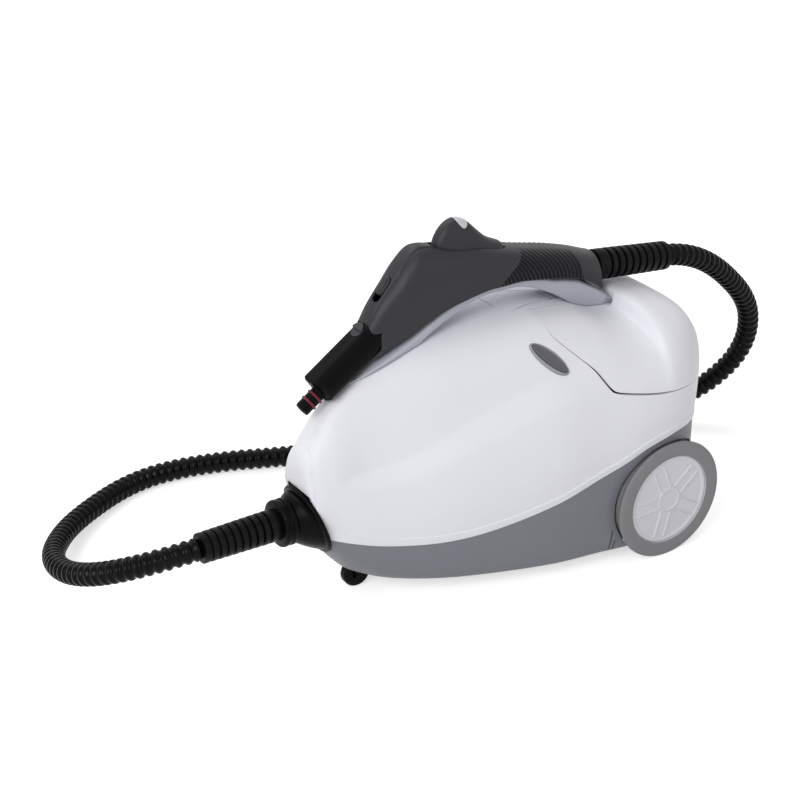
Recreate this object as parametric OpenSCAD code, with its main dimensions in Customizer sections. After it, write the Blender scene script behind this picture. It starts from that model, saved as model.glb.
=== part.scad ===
// Canister steam cleaner: boiler body on two wheels and a caster, ribbed hose, hand gun on the carry handle.
// X runs from the nose (-X) to the rear, -Y is the left side, Z is up and the floor is Z = 0.

/* [Body] */
// Length from the nose wall to the rear wall
body_l = 395; // [388:1:410]
// Width at the seam between the base and the upper shell
body_w = 224; // [218:1:232]
// Height of the top under the carry handle
body_h = 251; // [247:1:262]
// Clear height under the base
base_z = 13; // [11:0.5:15]
// Moulded wall thickness
wall = 2.6; // [2:0.1:3.2]
// Gap at the seams between moulded covers
seam_gap = 0.4; // [0.3:0.05:0.7]
// Height of the rub lip along the lower edge of the upper shell
lip_h = 8; // [5:0.5:11]
// How far the rub lip stands out
lip_t = 1; // [0.5:0.1:1.6]
// Depth of the step moulded into each flank
facet_d = 2.6; // [1:0.1:4]

/* [Wheels] */
// Radius of the tyres
wheel_r = 60; // [56:0.5:62]
// Width of a tyre
tyre_w = 26; // [22:0.5:28]
// Radial thickness of a tyre
tyre_t = 11; // [8:0.5:13]
// Distance between the outer faces of the wheels
track_w = 238; // [234:1:246]
// Place of the axle behind the middle
axle_x = 151; // [148:0.5:153]
// Radius of the axle
axle_r = 4; // [3:0.25:5]
// Raised lines on a hub cap, drawn as pairs
spoke_pairs = 5; // [3:1:7]

/* [Caster] */
// Radius of the caster wheel
caster_r = 14; // [13:0.5:15]
// Width of the caster wheel
caster_w = 12; // [10:0.5:13]
// Distance from the swivel to the caster's axle
caster_trail = 8; // [7:0.5:9]
// Place of the swivel ahead of the middle
caster_x = -120; // [-122:0.5:-112]

/* [Handle] */
// Width of the carry handle
handle_w = 40; // [36:0.5:41]
// Thickness of the handle at its crown
handle_t = 13; // [11:0.5:16]
// Room for fingers under the handle
finger_gap = 20; // [18:0.5:26]

/* [Gun] */
// Widest part of the gun
gun_w = 48; // [47:0.5:54]
// Wall of the gun halves
gun_wall = 2.2; // [1.8:0.1:2.6]
// Length of the barrel sleeve
barrel_l = 81; // [76:1:84]
// Width of the barrel sleeve
barrel_w = 31; // [28:0.5:34]
// Height of the barrel sleeve
barrel_h = 27; // [25:0.5:28]
// Pitch of the barrel below level
barrel_pitch = 34.5; // [32:0.5:36]
// Outer radius of the nozzle tube
nozzle_r = 7; // [6:0.25:8]
// Bore radius of the nozzle tube
nozzle_bore_r = 4; // [3:0.25:4.5]
// How far the nozzle stands out of the barrel
nozzle_l = 21; // [20:1:27]
// Radius of the pin that the thumb trigger turns on
trigger_pin_r = 2; // [1.5:0.1:2.5]
// Width of the thumb trigger
trigger_w = 25; // [22:0.5:27]

/* [Hose] */
// Outer radius of the hose at its ribs
hose_r = 11; // [10:0.1:11.4]
// Bore radius of the hose
hose_bore_r = 6.5; // [5:0.1:7]
// Depth of the grooves between ribs
rib_depth = 2; // [1:0.1:2.5]
// Distance from rib to rib
rib_pitch = 8.6; // [8.4:0.1:12]
// Outer radius of the bend sleeves
cuff_r = 15; // [13.5:0.25:16]
// Length of the bend sleeve on the gun
gun_cuff_l = 89; // [80:1:96]
// Length of the bend sleeve at the nose
nose_cuff_l = 76; // [66:1:84]
// Ribs on a bend sleeve
cuff_ribs = 9; // [5:1:12]

/* [Boiler] */
// Outer radius of the boiler
boiler_r = 48; // [42:0.5:50]
// Length of the boiler
boiler_l = 184; // [160:1:190]
// Wall of the boiler
boiler_wall = 2; // [1.5:0.1:3]
// Radius of the filler neck
neck_r = 13; // [11:0.5:15]
// Radius of the safety cap
cap_r = 18; // [16:0.5:20]

/* [Fits] */
// Radial clearance of a shaft in its bore
run_fit = 0.05; // [0.02:0.01:0.1]
// Clearance between parts that move past each other
clear = 0.35; // [0.3:0.05:0.5]
// Gap under a piece that rests on a curved skin
seat_gap = 0.3; // [0.2:0.05:0.4]

/* [Hidden] */
$fn = 64;

// Colours
white = [0.90, 0.90, 0.93];
grey = [0.47, 0.48, 0.51];
pale = [0.77, 0.76, 0.79];
handle_grey = [0.65, 0.67, 0.70];
charcoal = [0.20, 0.20, 0.22];
black = [0.08, 0.08, 0.09];
steel = [0.72, 0.73, 0.75];
brass = [0.78, 0.64, 0.34];
red = [0.62, 0.18, 0.20];

// Cylinder along Y, centred on the point p
module cross_pin(p, r, l) {
    translate(p) rotate([90, 0, 0]) cylinder(r = r, h = l, center = true);
}

// Control points of the body's curves as [distance from the middle, value],
// for a body 395 long, 224 wide and 251 high
nominal = [395, 224, 251];
top_line = [[-189, 142], [-186, 155], [-178, 170], [-158, 195], [-128, 217], [-74, 239], [-20, 248],
    [20, 251], [50, 250.5], [90, 243], [120, 231.5], [150, 228], [206, 212]];
cover_line = [[40, 251], [90, 243.5], [120, 233], [142, 231], [150, 241], [170, 240.5], [186, 237.5],
    [198, 231], [206, 216]];
plan_line = [[-189, 20], [-181, 27], [-168, 31], [-156, 35], [-120, 47], [-72, 66], [-27, 81], [33, 98],
    [79, 104.5], [100, 108.5], [120, 111.5], [150, 112], [168, 108.5], [184, 101], [198, 90], [206, 76]];
seam_line = [[-189, 84], [-156, 71], [-120, 62], [-72, 60], [-27, 66], [33, 83], [79, 100], [101, 109],
    [123, 119.5], [149, 126], [164, 128], [184, 127], [206, 125]];
chin_line = [[-189, 62], [-168, 41], [-156, 26], [-143, 12.5], [-128, 4], [-112, 0.6], [-100, 0], [-88, 0],
    [206, 0]];
tumblehome = [[-189, 2], [-140, 2], [-124, 2.4], [-95, 4.2], [-52, 8], [13, 14], [83, 20], [206, 20]];
shoulder_line = [[-189, 2.8], [60, 2.9], [120, 3], [150, 3.6], [165, 4], [206, 5]];
step_low = [[-189, 0.42], [-146, 0.40], [-110, 0.40], [-77, 0.44], [-47, 0.487], [7, 0.547], [60, 0.60],
    [206, 0.66]];
step_high = [[-189, 0.50], [-146, 0.50], [-120, 0.50], [-95, 0.52], [-43, 0.606], [10, 0.68], [60, 0.74],
    [206, 0.78]];
step_fade = [[-165, 0], [-130, 1], [0, 1], [75, 0]];
flank_bulge = 4;
flank_h = 48;
body_x = [-189, -187, -183, -177, -168, -156, -140, -122, -100, -74, -46, -18, 10, 38, 66, 94, 108, 122,
    134, 146, 164, 178, 190, 198, 203, 206];
cover_x = [44, 60, 76, 94, 112, 130, 141, 145, 149, 153, 164, 178, 188, 196, 202, 206];

// Handle curves: height as a share of the crown, and width as a share of the whole
rise_line = [[-136, 0.04], [-128, 0.08], [-100, 0.18], [-70, 0.36], [-35, 0.79], [0, 1], [20, 1], [40, 0.97],
    [65, 0.83], [90, 0.62], [115, 0.42], [132, 0.26], [142, 0.16]];
arch_line = [[-70, 0], [-40, 0.55], [-6, 1], [20, 1], [40, 0.92], [61, 0.68], [80, 0.36], [95, 0.08],
    [101, 0]];
handle_plan = [[-136, 0.25], [-128, 0.55], [-110, 0.85], [-85, 1], [125, 1.04], [138, 1.08], [142, 1.02]];
handle_x = [-136, -132, -124, -112, -98, -84, -72, -68, -56, -42, -24, -6, 14, 34, 52, 68, 82, 94, 102, 114,
    126, 136, 140, 142];

// Gun curves: top above the handle's crown, and width as a share of the whole
gun_top_line = [[-116, -17], [-107, -3], [-89, 18], [-78, 31], [-64, 42], [-46, 40], [-20, 36], [0, 33],
    [20, 26.5], [37, 21.5], [60, 16], [88, 9.5], [117, 1], [138, -5]];
gun_plan = [[-116, 0.58], [-100, 0.74], [-80, 0.9], [-50, 0.98], [0, 1], [60, 1], [100, 0.96], [125, 0.83],
    [138, 0.69]];
gun_x = [-116, -110, -103, -95, -87, -79, -71, -64, -55, -46, -34, -20, -5, 10, 25, 40, 55, 72, 90, 106, 120,
    130, 138];
skirt_reach = 7;
skirt_span = 90;
skirt_mid = 20;
hump_line = [[-44, 38], [-41, 45], [-36, 52], [-30, 57], [-24, 59.5], [-18, 59.5], [-11, 57], [-6, 53],
    [0, 47], [7, 40], [12, 34.5], [19, 29.5], [26, 26], [33, 24], [38, 22]];
hump_x = [-44, -42, -39, -35, -29, -22, -14, -7, 0, 8, 16, 26, 34, 38];

// Hose route as [x, y, z] between its two straight ends
hose_mid = [[268, 3, 236], [304, 9, 217], [341, 17, 189], [369, 26, 157], [383, 35, 126],
    [386, 45, 97], [377, 56, 71], [358, 72, 46], [328, 92, 26], [292, 114, 15],
    [245, 137, 11.5], [190, 152, 11.5], [120, 167, 11.5], [40, 191, 11.5], [-25, 217, 11.5],
    [-83, 241, 11.5], [-127, 259, 11.5], [-176, 271, 11.5], [-220, 270, 11.5], [-266, 252, 13],
    [-321, 213, 18], [-359, 162, 28], [-372, 110, 41], [-362, 65, 56], [-340, 30, 72]];

// Share of the body's own scale
scale_x = body_l / nominal[0];
scale_y = body_w / nominal[1];
scale_z = body_h / nominal[2];

// Value of a smooth curve through a table of [position, value] points
function curve(tab, x) =
    let (last = len(tab) - 1)
    x <= tab[0][0] ? tab[0][1] :
    x >= tab[last][0] ? tab[last][1] :
    let (i = max([for (k = [0:last - 1]) if (tab[k][0] <= x) k]),
        p0 = tab[max(0, i - 1)], p1 = tab[i], p2 = tab[i + 1], p3 = tab[min(last, i + 2)],
        run = p2[0] - p1[0],
        t = (x - p1[0]) / run,
        m1 = run * (p2[1] - p0[1]) / (p2[0] - p0[0]),
        m2 = run * (p3[1] - p1[1]) / (p3[0] - p1[0]),
        a = 2 * p1[1] - 2 * p2[1] + m1 + m2,
        b = -3 * p1[1] + 3 * p2[1] - 2 * m1 - m2)
    ((a * t + b) * t + m1) * t + p1[1];

function smooth(t) = let (c = min(1, max(0, t))) c * c * (3 - 2 * c);
function squircle(f, n) = pow(max(0, 1 - pow(f, n)), 1 / n);
function unit(v) = v / norm(v);
function flip(list) = [for (i = [len(list) - 1:-1:0]) list[i]];
function at(tab, x) = curve(tab, x / scale_x);
function spread(xs) = [for (x = xs) x * scale_x];

// Body curves at x
function top_z(x) = at(top_line, x) * scale_z;
function seam_z(x) = at(seam_line, x) * scale_z;
function half_w(x) = at(plan_line, x) * scale_y;
function floor_z(x) = base_z + at(chin_line, x) * scale_z;
function shoulder(x) = at(shoulder_line, x);
function skin_z(x, y) = let (z0 = seam_z(x)) z0 + (top_z(x) - z0) * squircle(abs(y) / half_w(x), shoulder(x));

// Height shares of the upper shell's rows at x
function shell_rows(x, h) =
    let (fl = at(step_low, x), fu = at(step_high, x), third = (fu - fl) / 3)
    [0, lip_h / h, (lip_h + lip_t) / h, 0.22, 0.33, fl, fl + third, fu - third, fu, (fu + 0.86) / 2, 0.86,
        0.91, 0.945, 0.972, 0.989, 0.9975, 1];

// Half width of the upper shell at height share f, inset by d
function shell_y(x, f, h, d) =
    let (fl = at(step_low, x), fu = at(step_high, x),
        step = at(step_fade, x) * min(smooth((f - fl) / (fu - fl)), (1 - f) / (1 - fu)),
        rise = f * h / flank_h - 1,
        bulge = flank_bulge * min(1, half_w(x) / 70) * max(0, 1 - rise * rise),
        lip = d == 0 && f <= lip_h / h ? lip_t : 0)
    (half_w(x) - d) * squircle(f, shoulder(x)) + bulge + lip - facet_d * step;

// Outline of the upper shell at x, from the left seam over the top to the right seam
function shell_outline(x, top, d) =
    let (z0 = seam_z(x),
        h = top - z0,
        half = [for (f = shell_rows(x, h)) [shell_y(x, f, h, d), z0 + (h - d) * f]])
    concat([for (p = half) [x, -p[0], p[1]]], [for (i = [len(half) - 2:-1:0]) [x, half[i][0], half[i][1]]]);

// Outline of the base at x, from the right seam under the floor to the left seam
tub_rows = [0, 0.35, 0.7, 0.88, 0.95, 0.985, 0.998, 1];
well_depth = tyre_w + 2;
well_y = track_w / 2 - well_depth;
well_gap = 1.8;
pocket_r = caster_trail + caster_r + 2.5;
pocket_z = 2 * caster_r + 5;
pocket_floor = pocket_z + 11;
function tub_inner_w(x) =
    let (w = half_w(x) - wall, share = smooth((x - axle_x + wheel_r + 24) / 16))
    min(w, w + (well_y - wall - w) * share);
function tub_inner_z(x) =
    let (z = floor_z(x) + wall, share = smooth((caster_x + pocket_r + 24 - x) / 16))
    max(z, z + (pocket_floor - z) * share);
function tub_outline(x, inner) =
    let (z0 = seam_z(x) - seam_gap,
        w = inner ? tub_inner_w(x) : half_w(x),
        zb = min(inner ? tub_inner_z(x) : floor_z(x), z0 - 3),
        n = at(tumblehome, x),
        half = [for (f = tub_rows) [w * squircle(f, n), z0 + (zb - z0) * f]])
    concat([for (p = half) [x, p[0], p[1]]], [for (i = [len(half) - 2:-1:0]) [x, -half[i][0], half[i][1]]]);

// Stations pulled in at both ends by d
function pulled(xs, d) =
    let (x0 = xs[0], span = xs[len(xs) - 1] - x0)
    [for (x = xs) x0 + d + (x - x0) * (span - 2 * d) / span];

// Both triangles of a grid cell
function cell(a, b, c, d) = [[a, b, c], [a, c, d]];

// Open shell between an outer and an inner grid of outlines, with closed end walls
module tub(outer, inner) {
    nu = len(outer);
    nv = len(outer[0]);
    n = nu * nv;
    e = nu - 1;
    v = nv - 1;
    mid = function (grid, i) (grid[i][0] + grid[i][v]) / 2;
    points = concat([for (r = outer) each r], [for (r = inner) each r],
        [mid(outer, 0), mid(outer, e), mid(inner, 0), mid(inner, e)]);
    faces = concat(
        [for (i = [0:e - 1], j = [0:v - 1], k = [0, 1])
            cell(i * nv + j, i * nv + j + 1, i * nv + nv + j + 1, i * nv + nv + j)[k]],
        [for (i = [0:e - 1], j = [0:v - 1], k = [0, 1])
            cell(n + i * nv + j, n + i * nv + nv + j, n + i * nv + nv + j + 1, n + i * nv + j + 1)[k]],
        [for (i = [0:e - 1], k = [0, 1]) cell(i * nv, i * nv + nv, n + i * nv + nv, n + i * nv)[k]],
        [for (i = [0:e - 1], k = [0, 1])
            cell(i * nv + nv + v, i * nv + v, n + i * nv + v, n + i * nv + nv + v)[k]],
        [for (j = [0:v - 1]) [j + 1, j, 2 * n]],
        [for (j = [0:v - 1]) [e * nv + j, e * nv + j + 1, 2 * n + 1]],
        [for (j = [0:v - 1]) [n + j, n + j + 1, 2 * n + 2]],
        [for (j = [0:v - 1]) [n + e * nv + j + 1, n + e * nv + j, 2 * n + 3]],
        cell(2 * n, 0, n, 2 * n + 2),
        cell(v, 2 * n, 2 * n + 2, n + v),
        cell(e * nv, 2 * n + 1, 2 * n + 3, n + e * nv),
        cell(2 * n + 1, e * nv + v, n + e * nv + v, 2 * n + 3));
    polyhedron(points, faces, convexity = 6);
}

// Thick sheet between an outer and an inner grid, open at all four edges
module sheet(outer, inner) {
    nu = len(outer);
    nv = len(outer[0]);
    n = nu * nv;
    e = nu - 1;
    v = nv - 1;
    points = concat([for (r = outer) each r], [for (r = inner) each r]);
    faces = concat(
        [for (i = [0:e - 1], j = [0:v - 1], k = [0, 1])
            cell(i * nv + j, i * nv + j + 1, i * nv + nv + j + 1, i * nv + nv + j)[k]],
        [for (i = [0:e - 1], j = [0:v - 1], k = [0, 1])
            cell(n + i * nv + j, n + i * nv + nv + j, n + i * nv + nv + j + 1, n + i * nv + j + 1)[k]],
        [for (i = [0:e - 1], k = [0, 1]) cell(i * nv, i * nv + nv, n + i * nv + nv, n + i * nv)[k]],
        [for (i = [0:e - 1], k = [0, 1])
            cell(i * nv + nv + v, i * nv + v, n + i * nv + v, n + i * nv + nv + v)[k]],
        [for (j = [0:v - 1], k = [0, 1]) cell(j + 1, j, n + j, n + j + 1)[k]],
        [for (j = [0:v - 1], k = [0, 1])
            cell(e * nv + j, e * nv + j + 1, n + e * nv + j + 1, n + e * nv + j)[k]]);
    polyhedron(points, faces, convexity = 6);
}

// Solid through closed rings of points, with a fan at each end
module loft(rings) {
    nu = len(rings);
    nv = len(rings[0]);
    e = nu - 1;
    middle = function (r) [for (k = [0:2]) (min([for (p = r) p[k]]) + max([for (p = r) p[k]])) / 2];
    points = concat([for (r = rings) each r], [middle(rings[0]), middle(rings[e])]);
    faces = concat(
        [for (i = [0:e - 1], j = [0:nv - 1], k = [0, 1])
            cell(i * nv + j, i * nv + (j + 1) % nv, i * nv + nv + (j + 1) % nv, i * nv + nv + j)[k]],
        [for (j = [0:nv - 1]) [(j + 1) % nv, j, nu * nv]],
        [for (j = [0:nv - 1]) [e * nv + j, e * nv + (j + 1) % nv, nu * nv + 1]]);
    polyhedron(points, faces, convexity = 6);
}

// Tube with a bore, swept through stations of [centre, side, up, outer radius]
module swept_tube(stations, bore_r, sides, bore_step) {
    ring = function (s, r) [for (k = [0:sides - 1])
        s[0] + r * (cos(360 * k / sides) * s[1] + sin(360 * k / sides) * s[2])];
    e = len(stations) - 1;
    picks = concat([for (i = [0:bore_step:e - 1]) i], [e]);
    n = (e + 1) * sides;
    q = len(picks) - 1;
    points = concat([for (s = stations) each ring(s, s[3])],
        [for (i = picks) each ring(stations[i], bore_r)]);
    faces = concat(
        [for (i = [0:e - 1], j = [0:sides - 1], k = [0, 1])
            cell(i * sides + j, i * sides + (j + 1) % sides, i * sides + sides + (j + 1) % sides,
                i * sides + sides + j)[k]],
        [for (i = [0:q - 1], j = [0:sides - 1], k = [0, 1])
            cell(n + i * sides + j, n + i * sides + sides + j, n + i * sides + sides + (j + 1) % sides,
                n + i * sides + (j + 1) % sides)[k]],
        [for (j = [0:sides - 1], k = [0, 1]) cell((j + 1) % sides, j, n + j, n + (j + 1) % sides)[k]],
        [for (j = [0:sides - 1], k = [0, 1])
            cell(e * sides + j, e * sides + (j + 1) % sides, n + q * sides + (j + 1) % sides,
                n + q * sides + j)[k]]);
    polyhedron(points, faces, convexity = 10);
}

// Points of a smooth path through p, steps to each stretch
function path(p, steps) =
    let (last = len(p) - 1)
    concat([for (i = [0:last - 1], k = [0:steps - 1])
        let (t = k / steps,
            p0 = p[max(0, i - 1)], p1 = p[i], p2 = p[i + 1], p3 = p[min(last, i + 2)],
            m1 = (p2 - p0) / 2, m2 = (p3 - p1) / 2)
        ((2 * (p1 - p2) + m1 + m2) * t * t * t) + ((3 * (p2 - p1) - 2 * m1 - m2) * t * t) + m1 * t + p1],
        [p[last]]);

// Running length along the points of a path
function lengths(p) =
    [for (i = 0, s = 0; i < len(p); s = s + (i + 1 < len(p) ? norm(p[i + 1] - p[i]) : 0), i = i + 1) s];

// Frames at given distances along a path, carried along without twist
function frames(p, places) =
    let (s = lengths(p),
        tab = [for (k = [0:2]) [for (i = [0:len(p) - 1]) [s[i], p[i][k]]]],
        at_s = function (d) [for (k = [0:2]) lookup(d, tab[k])],
        tangent = function (d) unit(at_s(min(d + 1, s[len(s) - 1])) - at_s(max(0, d - 1))),
        first = unit(cross(tangent(places[0]), [0, 1, 0])))
    [for (i = 0, t = tangent(places[0]), side = first; i < len(places);
        i = i + 1,
        t = i < len(places) ? tangent(places[i]) : t,
        side = unit(side - t * (side * t)))
        [at_s(places[i]), side, cross(t, side)]];

// Handle heights at x
crown = finger_gap + handle_t;
function handle_top(x) = top_z(x) + crown * at(rise_line, x);
function handle_under(x) = top_z(x) + finger_gap * at(arch_line, x);
crown_z = handle_top(skirt_mid * scale_x);

// Gun heights at x: the skirt hangs beside the handle, the roof rests on it
function gun_top(x) = crown_z + at(gun_top_line, x);
function gun_half(x) = gun_w / 2 * at(gun_plan, x);
function gun_skirt(x) =
    let (off = (x / scale_x - skirt_mid) / skirt_span)
    handle_top(x) - max(-skirt_reach, skirt_reach - 2 * skirt_reach * pow(off, 2));
function gun_roof(x) = max(handle_top(x) + clear, gun_skirt(x) + gun_wall / 2);
function handle_half(x) = handle_w / 2 * at(handle_plan, x);
function channel_half(x) = min(handle_half(x) + clear, gun_half(x) - gun_wall);
gun_turns = [90, 78, 66, 53, 40, 27, 13, 0];
gun_round = 2.6;
function gun_waist(x) = max(gun_skirt(x) + 0.36 * (gun_top(x) - gun_skirt(x)), gun_roof(x) + gun_wall + 2);

// Half outline of the gun at x from the top parting line round to the bottom one; side is 1 or -1
function gun_outer(x, side) =
    let (w = gun_half(x), zt = gun_top(x), zb = gun_skirt(x), zr = gun_roof(x), zm = gun_waist(x),
        c = channel_half(x),
        half = concat([for (a = gun_turns)
            [w * pow(cos(a), 2 / gun_round), zm + (zt - zm) * pow(sin(a), 2 / gun_round)]],
            [[w * 0.995, (zm + zb) / 2], [w - 0.5, zb], [c, zb], [c, zr], [0, zr]]))
    [for (p = half) [x, side * p[0], p[1]]];
function gun_inner(x, side) =
    let (t = gun_wall, w = gun_half(x) - t, zt = gun_top(x) - t, zr = gun_roof(x) + t, zm = gun_waist(x),
        half = concat([for (a = gun_turns)
            [w * pow(cos(a), 2 / gun_round), zm + (zt - zm) * pow(sin(a), 2 / gun_round)]],
            [[w, zm - 0.4], [w, zr + 0.6], [w - 1, zr], [w / 2, zr], [0, zr]]))
    [for (p = half) [x, side * p[0], p[1]]];

// Frames of the nose, the barrel, the gun's front face and the sleeves
nose_tilt = 18;
nose_c = [-176 * scale_x, 0, 87 * scale_z];
flange_r = 35.5;
flange_t = 4;
coupling_r = 22;
coupling_reach = 35;
coupling_x = nose_c[0] - coupling_reach;
coupling_l = 13;
hose_rise = 4;
hose_z = nose_c[2] + hose_rise;
module at_nose() {
    translate(nose_c) rotate([0, -90 - nose_tilt, 0]) children();
}
barrel_root = [-98 * scale_x, 0, crown_z - 27.5];
module at_barrel() {
    translate(barrel_root) rotate([0, -90 - barrel_pitch, 0]) children();
}
front_x = -97 * scale_x;
front_slope = atan2(gun_top(front_x + 8) - gun_top(front_x - 8), 16);
module at_front() {
    translate([front_x, 0, gun_top(front_x)]) rotate([0, -front_slope, 0]) children();
}
cuff_pitch = 6.5;
cuff_root = [gun_x[len(gun_x) - 1] * scale_x + seam_gap, 0, crown_z - 21.5];
module at_cuff() {
    translate(cuff_root) rotate([0, 90 + cuff_pitch, 0]) children();
}
cuff_dir = [cos(cuff_pitch), 0, -sin(cuff_pitch)];

// Zone of the rear cover, grown by g: behind the slanted seam, clear of the strip that carries the handle
cover_seam = [[46, 235], [76, 205], [84.5, 191], [90, 184.5], [98, 182], [134, 175.5], [206, 172]];
cover_front = cover_seam[0][0] * scale_x;
cover_edge = cover_seam[len(cover_seam) - 1][1] * scale_z;
strip_half = handle_w / 2 + 7;
strip_end = 149 * scale_x;
module cover_zone(g) {
    far = body_l;
    difference() {
        rotate([90, 0, 0]) linear_extrude(2 * body_w, center = true) offset(delta = g)
            polygon(concat([[cover_front, far]], [for (p = cover_seam) [p[0] * scale_x, p[1] * scale_z]],
                [[far, cover_edge], [far, far]]));
        translate([-far, -strip_half + g, 0]) cube([far + strip_end - g, 2 * (strip_half - g), far]);
    }
}

// Plan of the filler flap, grown by g
flap_x = [11, 25, 84];
flap_half = [7, 23, 16];
flap_round = 2;
module flap_plan(g) {
    offset(r = flap_round + g) offset(delta = -flap_round)
        polygon([[flap_x[0], -flap_half[0]], [flap_x[1], -flap_half[1]], [flap_x[2], -flap_half[2]],
            [flap_x[2], flap_half[2]], [flap_x[1], flap_half[1]], [flap_x[0], flap_half[0]]]);
}
flap_pin_r = 1.5;
flap_pin_x = flap_x[2] - 5;
flap_drop = 4.2;
flap_swing = 1.8;
flap_pin_z = top_z(flap_pin_x) - wall - flap_drop;
lug_r = 2.6;
lug_t = 2.5;
knuckle_r = 3;
knuckle_w = 4;
knuckle_y = 7;
lug_y = knuckle_y + knuckle_w / 2 + lug_t / 2 + 1.5 * clear;
flap_pin_l = 2 * lug_y + lug_t;
lug_end = flap_x[2] + 11;
module flap_lugs() {
    under = top_z(lug_end) - wall / 2;
    lug_start = flap_x[2] + seam_gap + flap_swing;
    for (s = [-1, 1]) difference() {
        union() {
            cross_pin([flap_pin_x, s * lug_y, flap_pin_z], lug_r, lug_t);
            translate([0, s * lug_y, 0]) rotate([90, 0, 0]) linear_extrude(lug_t, center = true)
                polygon([[flap_pin_x, flap_pin_z - lug_r], [lug_end, flap_pin_z - lug_r], [lug_end, under],
                    [lug_start, under], [lug_start - 1, flap_pin_z + 1], [flap_pin_x, flap_pin_z + 1]]);
        }
        cross_pin([flap_pin_x, s * lug_y, flap_pin_z], flap_pin_r, 2 * lug_t);
    }
}

// Power button: an oval on the left shoulder
button_x = 36 * scale_x;
button_f = 0.81;
button_l = 44;
button_w = 15;
button_depth = 9;
button_travel = 2.5;
bezel_w = 1.6;
switch_top = -button_depth - button_travel - 0.5;
button_h = top_z(button_x) - seam_z(button_x);
button_p = [button_x, -shell_y(button_x, button_f, button_h, 0), seam_z(button_x) + button_f * button_h];
button_lean = 48;
button_slant = 52.8;
module at_button() {
    translate(button_p) rotate([button_lean, 0, 0]) rotate([0, 0, -button_slant]) children();
}
module oval(l, w) {
    hull() {
        for (s = [-1, 1]) translate([s * (l - w) / 2, 0]) circle(d = w, $fn = 32);
    }
}

module ellipse(l, w) {
    polygon([for (a = [0:9:359]) [l / 2 * cos(a), w / 2 * sin(a)]]);
}

// Moulded body shells
module skin(xs, line_top, d) {
    tub([for (x = xs) shell_outline(x, line_top(x), 0)],
        [for (x = pulled(xs, d)) shell_outline(x, line_top(x), d)]);
}

module nose_cut() {
    at_nose() translate([-body_h, -body_w, -seam_gap]) cube([2 * body_h, 2 * body_w, body_l]);
}

module wheel_wells() {
    for (s = [-1, 1]) {
        translate([axle_x, s * well_y, wheel_r]) rotate([-s * 90, 0, 0])
            cylinder(r = wheel_r + well_gap, h = body_w);
    }
}

// Slanted grooves ahead of each wheel, the front one longest
vent_tops = [40, 29, 18];
vent_pitch = 4.1;
vent_lean = 6.5;
vent_x = axle_x - wheel_r - 3.3;
module vents() {
    for (s = [-1, 1], i = [0:2]) {
        translate([vent_x + vent_pitch * i, s * half_w(vent_x), 0]) rotate([0, vent_lean, 0])
            cube([1.6, 10, 2 * vent_tops[i]], center = true);
    }
}

module base_tub() {
    xs = spread(body_x);
    color(grey) difference() {
        tub([for (x = xs) tub_outline(x, false)], [for (x = pulled(xs, wall)) tub_outline(x, true)]);
        wheel_wells();
        vents();
        cross_pin([axle_x, 0, wheel_r], axle_r, body_w);
        translate([caster_x, 0, 0]) cylinder(r = pocket_r, h = pocket_z);
        translate([caster_x, 0, 0]) cylinder(r = bush_r, h = body_h);
        for (x = bracket_x, s = [-1, 1]) {
            translate([x, s * screw_y, 0]) cylinder(r = screw_r, h = body_h / 3);
            translate([x, s * screw_y, -1]) cylinder(r = screw_head_r, h = base_z + 2);
        }
        translate([body_l / 2, gland_y, gland_z]) rotate([0, 90, 0])
            cylinder(r = gland_r, h = body_l / 4, center = true);
        nose_cut();
    }
}

module upper_shell() {
    color(white) {
        difference() {
            skin(spread(body_x), function (x) top_z(x), wall);
            cover_zone(seam_gap);
            for (x = [0, flap_swing])
                translate([x, 0, body_h / 2]) linear_extrude(body_h) flap_plan(seam_gap);
            at_button() linear_extrude(6 * wall, center = true)
                ellipse(button_l + 2 * clear, button_w + 2 * clear);
            wheel_wells();
            nose_cut();
        }
        flap_lugs();
    }
}

module rear_cover() {
    color(white) intersection() {
        skin(spread(cover_x), function (x) at(cover_line, x) * scale_z, wall);
        cover_zone(0);
    }
}

module filler_flap() {
    xs = [for (x = spread(body_x)) if (x > flap_x[0] - 30 && x < flap_x[2] + 30) x];
    color(white) difference() {
        union() {
            intersection() {
                skin(xs, function (x) top_z(x), wall);
                translate([0, 0, body_h / 2]) linear_extrude(body_h) flap_plan(0);
            }
            for (s = [-1, 1]) {
                cross_pin([flap_pin_x, s * knuckle_y, flap_pin_z], knuckle_r, knuckle_w);
                translate([flap_pin_x - knuckle_r, s * knuckle_y - knuckle_w / 2, flap_pin_z])
                    cube([2 * knuckle_r, knuckle_w, flap_drop + wall / 2]);
            }
        }
        cross_pin([flap_pin_x, 0, flap_pin_z], flap_pin_r + run_fit, flap_pin_l);
    }
}

module flap_pin() {
    color(steel) cross_pin([flap_pin_x, 0, flap_pin_z], flap_pin_r, flap_pin_l);
}

module carry_handle() {
    ring = function (x)
        let (w = handle_half(x),
            zt = handle_top(x),
            lift = handle_under(x),
            zb = function (y) max(skin_z(x, y) + seat_gap, lift),
            t = zt - zb(0),
            top = [[0.45, 0.02], [0.85, 0.10]],
            low = [0.9, 0.45])
        concat([[x, -w, zb(w) + 0.25 * t], [x, -w, zt - 0.3 * t]],
            [for (k = [1, 0]) [x, -w * top[k][0], zt - t * top[k][1]]], [[x, 0, zt]],
            [for (k = [0, 1]) [x, w * top[k][0], zt - t * top[k][1]]],
            [[x, w, zt - 0.3 * t], [x, w, zb(w) + 0.25 * t]],
            [for (k = [0, 1]) [x, w * low[k], zb(w * low[k])]], [[x, 0, zb(0)]],
            [for (k = [1, 0]) [x, -w * low[k], zb(w * low[k])]]);
    color(handle_grey) loft([for (x = spread(handle_x)) ring(x)]);
}

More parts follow.
